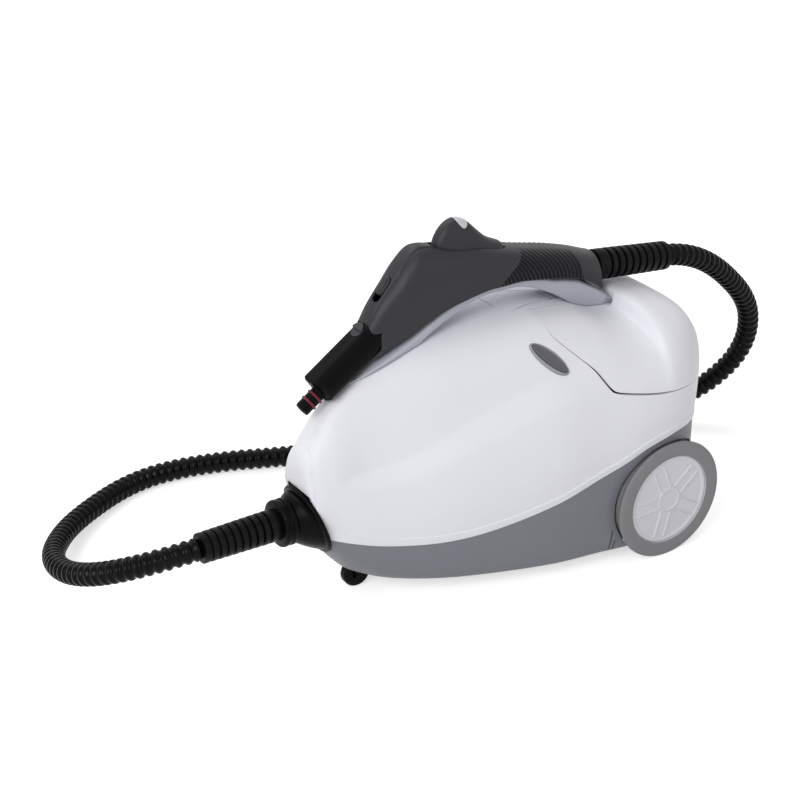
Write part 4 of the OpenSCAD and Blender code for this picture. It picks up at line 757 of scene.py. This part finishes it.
def makeHandle(h):
    x = stations(h["from"], h["to"], 130)
    w, zt = h["width"] / 2 * curveAt(h["plan"], x), handleShown(x)
    lift = bodyAt("top", x) + h["room"] * curveAt(h["arch"], x)

    def under(y):
        return np.maximum(shellHeight(x, y, "top") + h["seat"], lift)

    t = zt - under(0 * x)
    edge = under(w) + 0.25 * t
    # shares of the half width with shares of the thickness below the top, then those along the underside
    over = [(-1, 0.3), (-0.85, 0.10), (-0.45, 0.02), (0, 0), (0.45, 0.02), (0.85, 0.10), (1, 0.3)]
    rows = [(-w, edge), *((k * w, zt - d * t) for k, d in over), (w, edge),
            *((k * w, under(k * w)) for k in (0.9, 0.45, 0, -0.45, -0.9))]
    ctrl = np.stack([np.stack([x, y, z], -1) for y, z in rows], 1)
    return gridPiece("carryHandle", smoothLoop(ctrl, 6), "caps", sharp=50)


# gun: a channel that straddles the handle, roof rounded by a superellipse, with a spine strip and grip grooves
gunForm = {
    "top": [[-116, -17], [-107, -3], [-89, 18], [-78, 31], [-64, 42], [-46, 40], [-20, 36], [0, 33], [20, 26.5],
            [37, 21.5], [60, 16], [88, 9.5], [117, 1], [138, -5]],
    "plan": [[-116, 0.58], [-100, 0.74], [-80, 0.9], [-50, 0.98], [0, 1], [60, 1], [100, 0.96], [125, 0.83],
             [138, 0.69]],
    "hook": [[-140, 0], [40, 0], [55, 0.1], [75, 1.2], [95, 3.6], [112, 5], [124, 4.6], [132, 2.4], [138, 0],
             [160, 0]],
    "width": 48, "wall": 2.2, "reach": 7, "span": 90, "middle": 20, "round": 2.6, "clear": 0.35, "slant": 4.0,
    "grip": {"pitch": 4.4, "depth": 1.7, "front": (16.5, 1.12), "rear": (101.7, 0.352), "frontZ": -5, "rearZ": 10,
             "top": 20, "lean": 1.25, "bend": 0.016, "broad": 0.8, "fade": 1.2},
    "spine": {"half": 6.5, "raise": 0.6, "groove": 0.7, "from": -112, "to": -44},
}
crownZ = float(handleTop(gunForm["middle"]))


def gunTop(x):
    return crownZ + curveAt(gunForm["top"], x)


def gunSkirt(x):
    r = gunForm["reach"]
    line = handleTop(x) - np.maximum(-r, r - 2 * r * ((x - gunForm["middle"]) / gunForm["span"]) ** 2)
    return line + curveAt(gunForm["hook"], x)


def gunRoof(x):
    return np.maximum(handleTop(x) + gunForm["clear"], gunSkirt(x) + gunForm["wall"] / 2)


def gunHalf(x):
    return gunForm["width"] / 2 * curveAt(gunForm["plan"], x)


def gunWaist(x):
    zb = gunSkirt(x)
    return np.maximum(zb + 0.36 * (gunTop(x) - zb), gunRoof(x) + gunForm["wall"] + 2)


dress(makeHandle(handleForm), "handle_grey", "root", "carry_handle")
print("handle done")


# depth of the curved grip grooves at a point of the flank: a wave that steepens downwards, in a slanted window
def gripDepth(x, z):
    g = gunForm["grip"]
    up = z - crownZ
    down = g["top"] - up
    wave = (0.5 + 0.5 * np.cos(2 * np.pi * (x - g["lean"] * down + g["bend"] * down ** 2) / g["pitch"])) ** g["broad"]
    front = g["front"][0] + g["front"][1] * (up - g["frontZ"])
    rear = g["rear"][0] - g["rear"][1] * (up - g["rearZ"])
    window = smoothStep((x - front) / g["fade"]) * smoothStep((rear - x) / g["fade"])
    return g["depth"] * window * wave


def makeGun(g):
    x = np.concatenate([np.linspace(-116, 14, 105)[:-1], np.linspace(14, 130, 230), np.linspace(130, 138, 9)[1:]])
    w, zt, zb, zm, zr = (part(x)[:, None] for part in (gunHalf, gunTop, gunSkirt, gunWaist, gunRoof))
    c = np.minimum(handleForm["width"] / 2 * curveAt(handleForm["plan"], x)[:, None] + g["clear"], w - g["wall"])
    a = np.linspace(0, np.pi / 2, 64)[None, 1:]
    up = np.linspace(0, 1, 26)[None, :]
    low = np.concatenate([w * (0.995 + 0.005 * up), w * np.cos(a) ** (2 / g["round"])], 1)
    rise = np.concatenate([zb + (zm - zb) * up, zm + (zt - zm) * np.sin(a) ** (2 / g["round"])], 1)
    low[:, -1] = 0
    # grooves go straight inwards on the flank and fade over the crown
    dip = gripDepth(x[:, None], rise) * smoothStep((low / w - 0.3) / 0.2) * smoothStep((rise - zb - 1.2) / 1.0)
    spine = g["spine"]
    inSpan = smoothStep((spine["to"] - x) / 3) * smoothStep((x - spine["from"]) / 3)
    strip = inSpan[:, None] * smoothStep((spine["half"] - low) / 0.8 + 0.5)
    seam = inSpan[:, None] * np.exp(-((low - spine["half"] - 0.5) / spine["groove"]) ** 2)
    left = sections(x, dip - low, rise + spine["raise"] * strip - 0.9 * seam)
    floor = sections(x, np.hstack([w - 0.6, c, c, -c, -c, 0.6 - w]), np.hstack([zb, zb, zr, zr, zb, zb]))
    rows = np.concatenate([mirrored(left), floor], 1)
    # the rear end leans: its foot runs on behind its top
    share = np.clip((rows[..., 2] - zb) / (zt - zb), 0, 1)
    rows[..., 0] += g["slant"] * smoothStep((x[:, None] - 112) / 26) * (0.6 - 1.6 * share)
    gun = gridPiece("gunShell", rows, "caps", sharp=42)
    # cavity: the same section inside the wall
    t = g["wall"]
    xi = np.linspace(-111, 128, 60)
    inner = ((gunHalf, -t), (gunTop, -t - 0.9), (gunRoof, t), (gunWaist, 0))
    wi, zi, zj, zk = (part(xi)[:, None] + grow for part, grow in inner)
    across, above = halfRing(49, g["round"])
    ring = sections(xi, np.hstack([wi * across, 0.8 - wi, wi - 0.8]), np.hstack([zk + (zi - zk) * above, zj, zj]))
    return combine(gun, gridPiece("gunCavity", ring, "caps"), sharp=42)


barrelForm = {"root": (-98, 0, crownZ - 27.5), "pitch": 34.5, "length": 81, "width": 31, "low": 10.5, "top": 16.5,
              "noseRound": 22, "edge": 2.0, "nozzleR": 7, "drop": 1.5, "latchZ": 18, "latchR": 7,
              "latchGap": 0.35, "latchCut": (11, 45), "tipHalf": 6.5}
barrelAxes = turnedAxes(-90 - barrelForm["pitch"])


# barrel section: flat top with two broad shoulders, drawn in at the foot; corners cut round
def barrelSection(grow=0.0):
    w, lo, hi = barrelForm["width"] / 2, barrelForm["low"], barrelForm["top"]
    p = np.array([[-lo, -w + 7], [-lo + 5, -w], [hi - 9, -w], [hi - 2, -w + 5], [hi, -w + 8], [hi, w - 8],
                  [hi - 2, w - 5], [hi - 9, w], [-lo + 5, w], [-lo, w - 7]])
    middle = np.array([(hi - lo) / 2, 0])
    return middle + (p - middle) * (1 + grow / w)


# thumb trigger: a hump whose rings are superellipses on a flat foot
humpForm = {
    "line": [[-44, 38], [-41, 45], [-36, 52], [-30, 57], [-24, 59.5], [-18, 59.5], [-11, 57], [-6, 53], [0, 47],
             [7, 40.5], [12, 36.3], [19, 32.3], [25, 29.6], [28.5, 27.6], [30.6, 23], [32, 17.6], [34, 16.8]],
    "plan": [[-44, 0.3], [-42, 0.52], [-38, 0.74], [-30, 0.92], [-18, 1], [2, 1], [14, 0.94], [23, 0.8], [28, 0.64],
             [31, 0.5], [34, 0.48]],
    "low": 12, "round": 2.7, "width": 27, "foot": 4, "slotEnd": 32.4, "swing": 3.0, "slotGap": 0.45, "insertX": -16,
    "insertL": 19, "insertW": 12, "insertT": 3, "pinX": 29, "pinZ": 17, "pinR": 2.05,
}


# slot round the hump: its plan, carried forward by the swing of its front, plus a gap
def slotLine(h):
    x = np.linspace(h["line"][0][0] - h["swing"] - h["slotGap"], h["slotEnd"], 70)
    share = np.maximum(curveAt(h["plan"], x), curveAt(h["plan"], x + h["swing"]))
    half = h["width"] / 2 * share + h["slotGap"]
    return np.vstack([np.stack([x, -half], -1), np.stack([x, half], -1)[::-1]])


# lock slider on the spine's front slope
lockForm = {"x": -97, "slope": (-105.0, -89.0), "slot": 25, "length": 18, "width": 10, "gap": 0.35,
            "rise": (-5, 2.2, 0.9), "ridge": (13, 5.6, 1.5, 2.9, 0.5)}
foot, head = lockForm["slope"]
frontAxes = turnedAxes(-math.degrees(math.atan2(gunTop(head) - gunTop(foot), head - foot)))
frontPoint = np.array([lockForm["x"], 0, gunTop(lockForm["x"])])
latchAt = np.array(barrelForm["root"]) + barrelForm["latchZ"] * barrelAxes[2]
latchAxes = (np.array([0, 1.0, 0]), barrelAxes[2], barrelAxes[0])


def latchTool():
    return roundTool(latchAt, barrelForm["latchR"] + barrelForm["latchGap"], *barrelForm["latchCut"], latchAxes)


def lockTool(f):
    line = ovalLine(f["slot"] + 2 * f["gap"], f["width"] + 2 * f["gap"])
    return prism(line, frontPoint, frontAxes, -7, 12)


gunShell = makeGun(gunForm)
combine(gunShell, prism(barrelSection(0.5), barrelForm["root"], barrelAxes, -0.4, 120), latchTool(),
        prism(slotLine(humpForm), (0, 0, 0), flatAxes, crownZ + 6, crownZ + 90), lockTool(lockForm),
        sharp=42)


# groove attribute for the finish's painted shade in the grooves: the depth at each point of the flank as a share of
# the full depth
def markGrooves(obj):
    co = np.empty(3 * len(obj.data.vertices))
    obj.data.vertices.foreach_get("co", co)
    x, y, z = (co.reshape(-1, 3) / mm).T
    share = gripDepth(x, z) / gunForm["grip"]["depth"] * smoothStep((np.abs(y) / gunHalf(x) - 0.3) / 0.2)
    obj.data.attributes.new("groove", "FLOAT", "POINT").data.foreach_set("value", smoothStep((share - 0.05) / 0.35))


markGrooves(gunShell)
dress(gunShell, "gun_charcoal", "gun", "gun_left_half", "gun_right_half")
print("gun done")


# barrel: sections along its axis; the front closes by the plan's round and a small edge
def makeBarrel(b):
    sec = cutCorners(barrelSection(), 2, closed=True)
    e = b["edge"]
    a = np.linspace(0, np.pi / 2, 8)
    nose, face = b["length"] - b["noseRound"], b["length"] - e
    z = np.concatenate([np.linspace(0, nose, 14)[:-1], np.linspace(nose, face, 16), face + e * np.sin(a[1:])])
    draw = np.concatenate([np.zeros(29), e * (1 - np.cos(a[1:]))])
    middle = np.array([(b["top"] - b["low"]) / 2, 0])
    ring = middle + (sec - middle)[None] * (1 - draw / 13)[:, None, None]
    room = np.sqrt(np.maximum(b["noseRound"] ** 2 - np.maximum(0, z - nose) ** 2, b["tipHalf"] ** 2))[:, None]
    y = np.clip(ring[..., 1], -room, room)
    local = np.stack([ring[..., 0], y, np.repeat(z[:, None], ring.shape[1], 1)], -1)
    obj = gridPiece("barrelSleeve", placed(local, b["root"], *barrelAxes), "caps", sharp=35)
    bore = np.array(b["root"]) - b["drop"] * barrelAxes[0]
    return combine(obj, roundTool(bore, b["nozzleR"], -5, 120, barrelAxes), latchTool(), sharp=35)


dress(makeBarrel(barrelForm), "black_plastic", "gun", "barrel_sleeve")


# rings of the hump, all of it but the foot moved by the lift
def makeHump(name, lift):
    h = humpForm
    x = stations(h["line"][0][0], h["line"][-1][0], 90)
    zb, zt = crownZ + h["low"], crownZ + curveAt(h["line"], x)[:, None] + lift
    w = h["width"] / 2 * curveAt(h["plan"], x)[:, None]
    across, above = halfRing(61, h["round"])
    z = zb + h["foot"] + (zt - zb - h["foot"]) * above
    y = np.hstack([-w * across, w, 0.4 * w, -0.4 * w, -w])
    return gridPiece(name, sections(x, y, np.hstack([z, np.full((len(x), 4), zb)])), "caps", sharp=48)


def insertTool(gap):
    h = humpForm
    return prism(ovalLine(h["insertL"] + 2 * gap, h["insertW"] + 2 * gap), (h["insertX"], 0, crownZ),
                 ([0, 1, 0], [-1, 0, 0], [0, 0, 1]), 0, 120)


def makeTrigger(h):
    pocket = combine(insertTool(0.1), makeHump("pocketFloor", -h["insertT"] - 0.1))
    pin = roundTool((h["pinX"], 0, crownZ + h["pinZ"]), h["pinR"], -40, 40, sideAxes)
    return combine(makeHump("thumbTrigger", 0), pocket, pin, sharp=48)


trigger = makeTrigger(humpForm)
insert = combine(makeHump("triggerInsert", 0.35), insertTool(0.0), operation="INTERSECT", sharp=48)
combine(insert, makeHump("insertFloor", -humpForm["insertT"]), sharp=48)
dress(trigger, "gun_charcoal", "trigger", "thumb_trigger")
dress(insert, "insert_silver", "trigger", "trigger_insert")

# return spring under the hump, which flattens as the trigger goes down; here a fixed coil in the box of the CAD's
# spring, its turns closer at the ends
springForm = {"turns": 4, "radius": 5.0, "wire": 0.8, "keep": 0.40}


def makeSpring(f):
    low, high = (np.array(v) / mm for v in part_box("trigger_spring"))
    t = np.linspace(0, 1, f["turns"] * 24 + 1)
    turn = 2 * np.pi * f["turns"] * t
    rise = low[2] + f["wire"] + (high[2] - low[2] - 2 * f["wire"]) * (0.15 * t + 0.85 * smoothStep(t))
    middle = (low + high) / 2
    centre = np.stack([middle[0] + f["radius"] * np.cos(turn), middle[1] + f["radius"] * np.sin(turn), rise], -1)
    spring = dress(tubePiece("triggerSpring", centre, np.full(len(t), f["wire"]), 10, (0, 0, 1)), "steel", "gun",
                   "trigger_spring")
    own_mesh(spring)


makeSpring(springForm)


# rings of an outline, drawn in by each step's distance and at each step's height
def drawnIn(line, length, width, steps):
    return np.stack([np.column_stack([line(length - 2 * d, width - 2 * d), np.full(56, z)]) for d, z in steps])


# raised oval: the outline drawn in over a rounded edge, from its foot to its top
def ovalButton(name, line, length, width, low, high, edge, origin, axes, dish=0.0):
    a = np.linspace(0, np.pi / 2, 7)
    draw = np.concatenate([[0], edge * (1 - np.cos(a)), edge + (width / 2 - edge) * np.array([0.3, 0.6, 0.85])])
    rise = np.concatenate([[low], high - edge + edge * np.sin(a), high - dish * np.array([0.5, 0.85, 1.0])])
    rings = drawnIn(line, length, width, zip(draw, rise))
    return gridPiece(name, placed(rings, origin, *axes), "caps", sharp=50)


lockAt = frontPoint + (lockForm["slot"] - lockForm["length"]) / 2 * frontAxes[0]
lock = joinPieces(ovalButton("lockSlider", ovalLine, lockForm["length"], lockForm["width"], *lockForm["rise"], lockAt,
                             frontAxes),
                  ovalButton("lockRidge", ovalLine, *lockForm["ridge"], lockAt, frontAxes))
dress(lock, "gun_charcoal", "lock", "lock_button")


def makeButton(b):
    inset = 2 * (b["rim"] + b["gap"])
    return ovalButton("powerButton", ellipseLine, b["length"] - inset, b["width"] - inset, -b["depth"], b["proud"],
                      b["edge"], buttonAt, buttonAxes(), dish=b["dish"])


# rim round the button: an oval ring with rounded edges
def makeRim(b):
    rim, low, high = b["rim"], -b["rimDepth"], b["rimProud"]
    steps = [(0, low), (0, high - 0.7), (0.2, high - 0.2), (0.6, high), (rim - 0.5, high), (rim - 0.15, high - 0.3),
             (rim, high - 0.8), (rim, low)]
    rings = drawnIn(ellipseLine, b["length"], b["width"], steps)
    return gridPiece("buttonRim", placed(rings, buttonAt, *buttonAxes()), "loop", sharp=50)


dress(makeButton(buttonForm), "button_grey", "power", "power_button")
dress(makeRim(buttonForm), "bezel_grey", "root", "button_bezel")
print("buttons done")


# nose grommet: a tilted round flange that flares into a neck; rings lean from one plane to the other
def makeGrommet(n):
    f, bore = n["flange"], n["bore"]
    profile = [[bore + 3, 0], [f - 0.6, 0], [f, 0.7], [f, 2.4], [f - 0.4, 3.3], [f - 1.3, 3.9], [f - 3, 4.2],
               [f - 4.2, 4.4]]
    rim = turned(profile, 96, n["centre"], *noseAxes)
    foot = turned([[n["neck"], 0], [bore, 0]], 96, (n["couplingX"] + n["couplingL"], 0, n["hoseZ"]), *np.eye(3)[::-1])
    # flare: a straight blend of the two rings, swelled a little in the middle
    t = np.linspace(0, 1, 12)[1:-1, None, None]
    flare = rim[-1] + (foot[0] - rim[-1]) * t
    middle = flare.mean(1, keepdims=True)
    flare = middle + (flare - middle) * (1 + 0.05 * np.sin(np.pi * t))
    return gridPiece("noseGrommet", np.concatenate([rim, flare, foot]), "loop", sharp=40)


dress(makeGrommet(noseForm), "black_plastic", "root", "nose_grommet")
couplingLine = [[6.5, 0], [19.6, 0], [20.6, 0.3], [21.6, 1.2], [22, 2.2], [22, 4.6], [21.5, 5.2], [20.7, 5.6],
                [20.7, 8.2], [21.5, 8.6], [22, 9.2], [22, 11.8], [21.6, 12.6], [20.8, 13], [6.5, 13]]
coupling = gridPiece("hoseCoupling", turned(couplingLine, 96, (noseForm["couplingX"], 0, noseForm["hoseZ"]),
                                            *turnedAxes(90)), "loop")
dress(coupling, "black_plastic", "root", "hose_coupling")

# tyres and hub caps, turned about the axle; side is -1 on the left
tyreLine = [[49, -26], [53, -26], [54.4, -25], [55, -23], [55.4, -16], [55.8, -9.5], [56.3, -7.2], [57.4, -5.8],
            [58.6, -4.6], [59.5, -3.5], [60, -2.3], [59.9, -1.5], [59.3, -0.85], [58.2, -0.4], [56.4, -0.1],
            [54, 0], [46.2, 0], [45.6, -0.2], [45.35, -0.8], [45.35, -4.2], [49, -4.2]]


# hub cap height at a radius and angle: a dished disc, a rim, a boss, and pairs of raised lines
def makeHub(name, origin, axes):
    r = np.concatenate([np.linspace(0.4, 14, 24), np.linspace(14, 40.5, 36)[1:], np.linspace(40.5, 45, 14)[1:]])
    a = ringAngles(300)
    base = np.interp(r, [0, 10.2, 11.1, 12.5, 13.7, 40.2, 41.2, 42.2, 43.8, 44.5, 45],
                     [0.3, 0.2, 1.1, 1.1, -0.4, -0.8, -0.1, 0.3, 0.3, 0.1, -0.6])
    rr, aa = r[:, None], a[None, :]
    turn = (np.degrees(aa) - 40 + 36) % 72 - 36
    across = np.abs(rr * np.sin(np.radians(turn)))
    ring = smoothStep((rr - 13.2) / 1.5) * smoothStep((41 - rr) / 1.5)
    z = base[:, None] + (1.5 * np.exp(-((across - 6) / 0.75) ** 2) + 0.45 * smoothStep((6 - across) / 1.2)) * ring
    front = np.stack([rr * np.cos(aa), rr * np.sin(aa), z], -1)
    back = turned([(45, -3.1), (41, -3.1), (41, -2.6), (0.4, -2.0)], 300, (0, 0, 0), *np.eye(3))
    return gridPiece(name, placed(np.concatenate([front, back]), origin, *axes), "caps", sharp=50)


for side, word in ((-1, "left"), (1, "right")):
    axes = np.array([[1, 0, 0], [0, 0, -side], [0, side, 0]])
    outward = (wheelForm["track"] / 2, wheelForm["hubY"])
    tyreAt, hubAt = ((wheelForm["x"], side * y, wheelForm["radius"]) for y in outward)
    tyre = gridPiece(word + "Tyre", turned(tyreLine, 160, tyreAt, *axes), "loop")
    dress(tyre, "wheel_tyre", word + "_wheel", "tyre_" + word)
    dress(makeHub(word + "HubCap", hubAt, axes), "hub_pale", word + "_wheel", "hub_cap_" + word)
print("wheels done")

# CAD nodes that stay as they are, each with its finish
kept = {
    "steel": ["flap_pin", "trigger_pin", "axle", "axle_clips", "boiler", "boiler_bracket_front",
              "boiler_bracket_rear", "heating_element", "inlet_pipe", "outlet_pipe", "bracket_screws"],
    "brass": ["steam_valve", "safety_valve", "solenoid_valve"],
    "black_plastic": ["nozzle_tube", "caster_bush", "caster_axle", "caster_fork", "caster_wheel", "thermostat",
                      "safety_cap", "switch_body", "cord_gland", "gun_steam_tube"],
    "seal_red": ["nozzle_o_rings", "cap_seal"],
    "gun_charcoal": ["barrel_latch"],
    "hub_pale": ["wheel_core_left", "wheel_core_right"],
    "shell_white": ["accessory_tray"],
}
for slotName, names in kept.items():
    for name in names:
        paint(nodes[name], slotName)

# floor and light: pale floor that goes to white for the camera but keeps the shadow
studio = {"floor": 12.0, "sink": 0.2, "floorColour": 0.82, "glow": 0.58, "world": 0.40, "aim": (0, 0.05, 0.12),
          "key": (-2.5, -1.3, 1.9, 56.0, 1.6), "fill": (1.2, -2.4, 1.3, 7.0, 1.6), "back": (-0.3, 1.6, 2.8, 30.0, 2.0)}


# one for a ray from the camera, from a gloss or through glass, else nothing
def seenRay(tree):
    rays = addNode(tree, "ShaderNodeLightPath").outputs
    either = mathIn(tree, "MAXIMUM", rays["Is Camera Ray"], rays["Is Glossy Ray"])
    return mathIn(tree, "MAXIMUM", either, rays["Is Transmission Ray"])


def makeStudio(s):
    half = s["floor"] / 2
    line = np.linspace(-half, half, 5) / mm
    gx, gy = np.meshgrid(line, line, indexing="ij")
    floor = gridPiece("studioFloor", np.stack([gx, gy, 0 * gx - s["sink"]], -1), ring=False)
    if floor.data.polygons[0].normal.z < 0:
        floor.data.flip_normals()
    mat, tree, shader = newFinish("paleFloor")
    cloud = noiseIn(tree, addNode(tree, "ShaderNodeTexCoord"), 1.5, 2.0)
    ramp = addNode(tree, "ShaderNodeValToRGB", {"Fac": cloud})
    for element, tone in zip(ramp.color_ramp.elements, (s["floorColour"], s["floorColour"] + 0.02)):
        element.color = (tone, tone, tone, 1)
    setInputs(shader, {"Base Color": ramp.outputs["Color"], "Roughness": 0.9, "Specular IOR Level": 0.1,
                       "Emission Color": (1, 1, 1, 1),
                       "Emission Strength": mathIn(tree, "MULTIPLY", seenRay(tree), s["glow"])})
    floor.data.materials.append(mat)
    world = bpy.data.worlds.new("studioWorld")
    world.use_nodes = True
    tree = world.node_tree
    level = addNode(tree, "ShaderNodeMapRange", {"Value": seenRay(tree), "To Min": s["world"], "To Max": 1.0})
    setInputs(tree.nodes["Background"], {"Color": (1, 1, 1, 1), "Strength": level.outputs["Result"]})
    bpy.context.scene.world = world
    for name in ("key", "fill", "back"):
        data = bpy.data.lights.new(name + "Lamp", "AREA")
        *place, data.energy, data.size = s[name]
        placeAimed(data, place, Vector(s["aim"]) - Vector(place))


makeStudio(studio)
bpy.context.scene.view_settings.view_transform = "Standard"
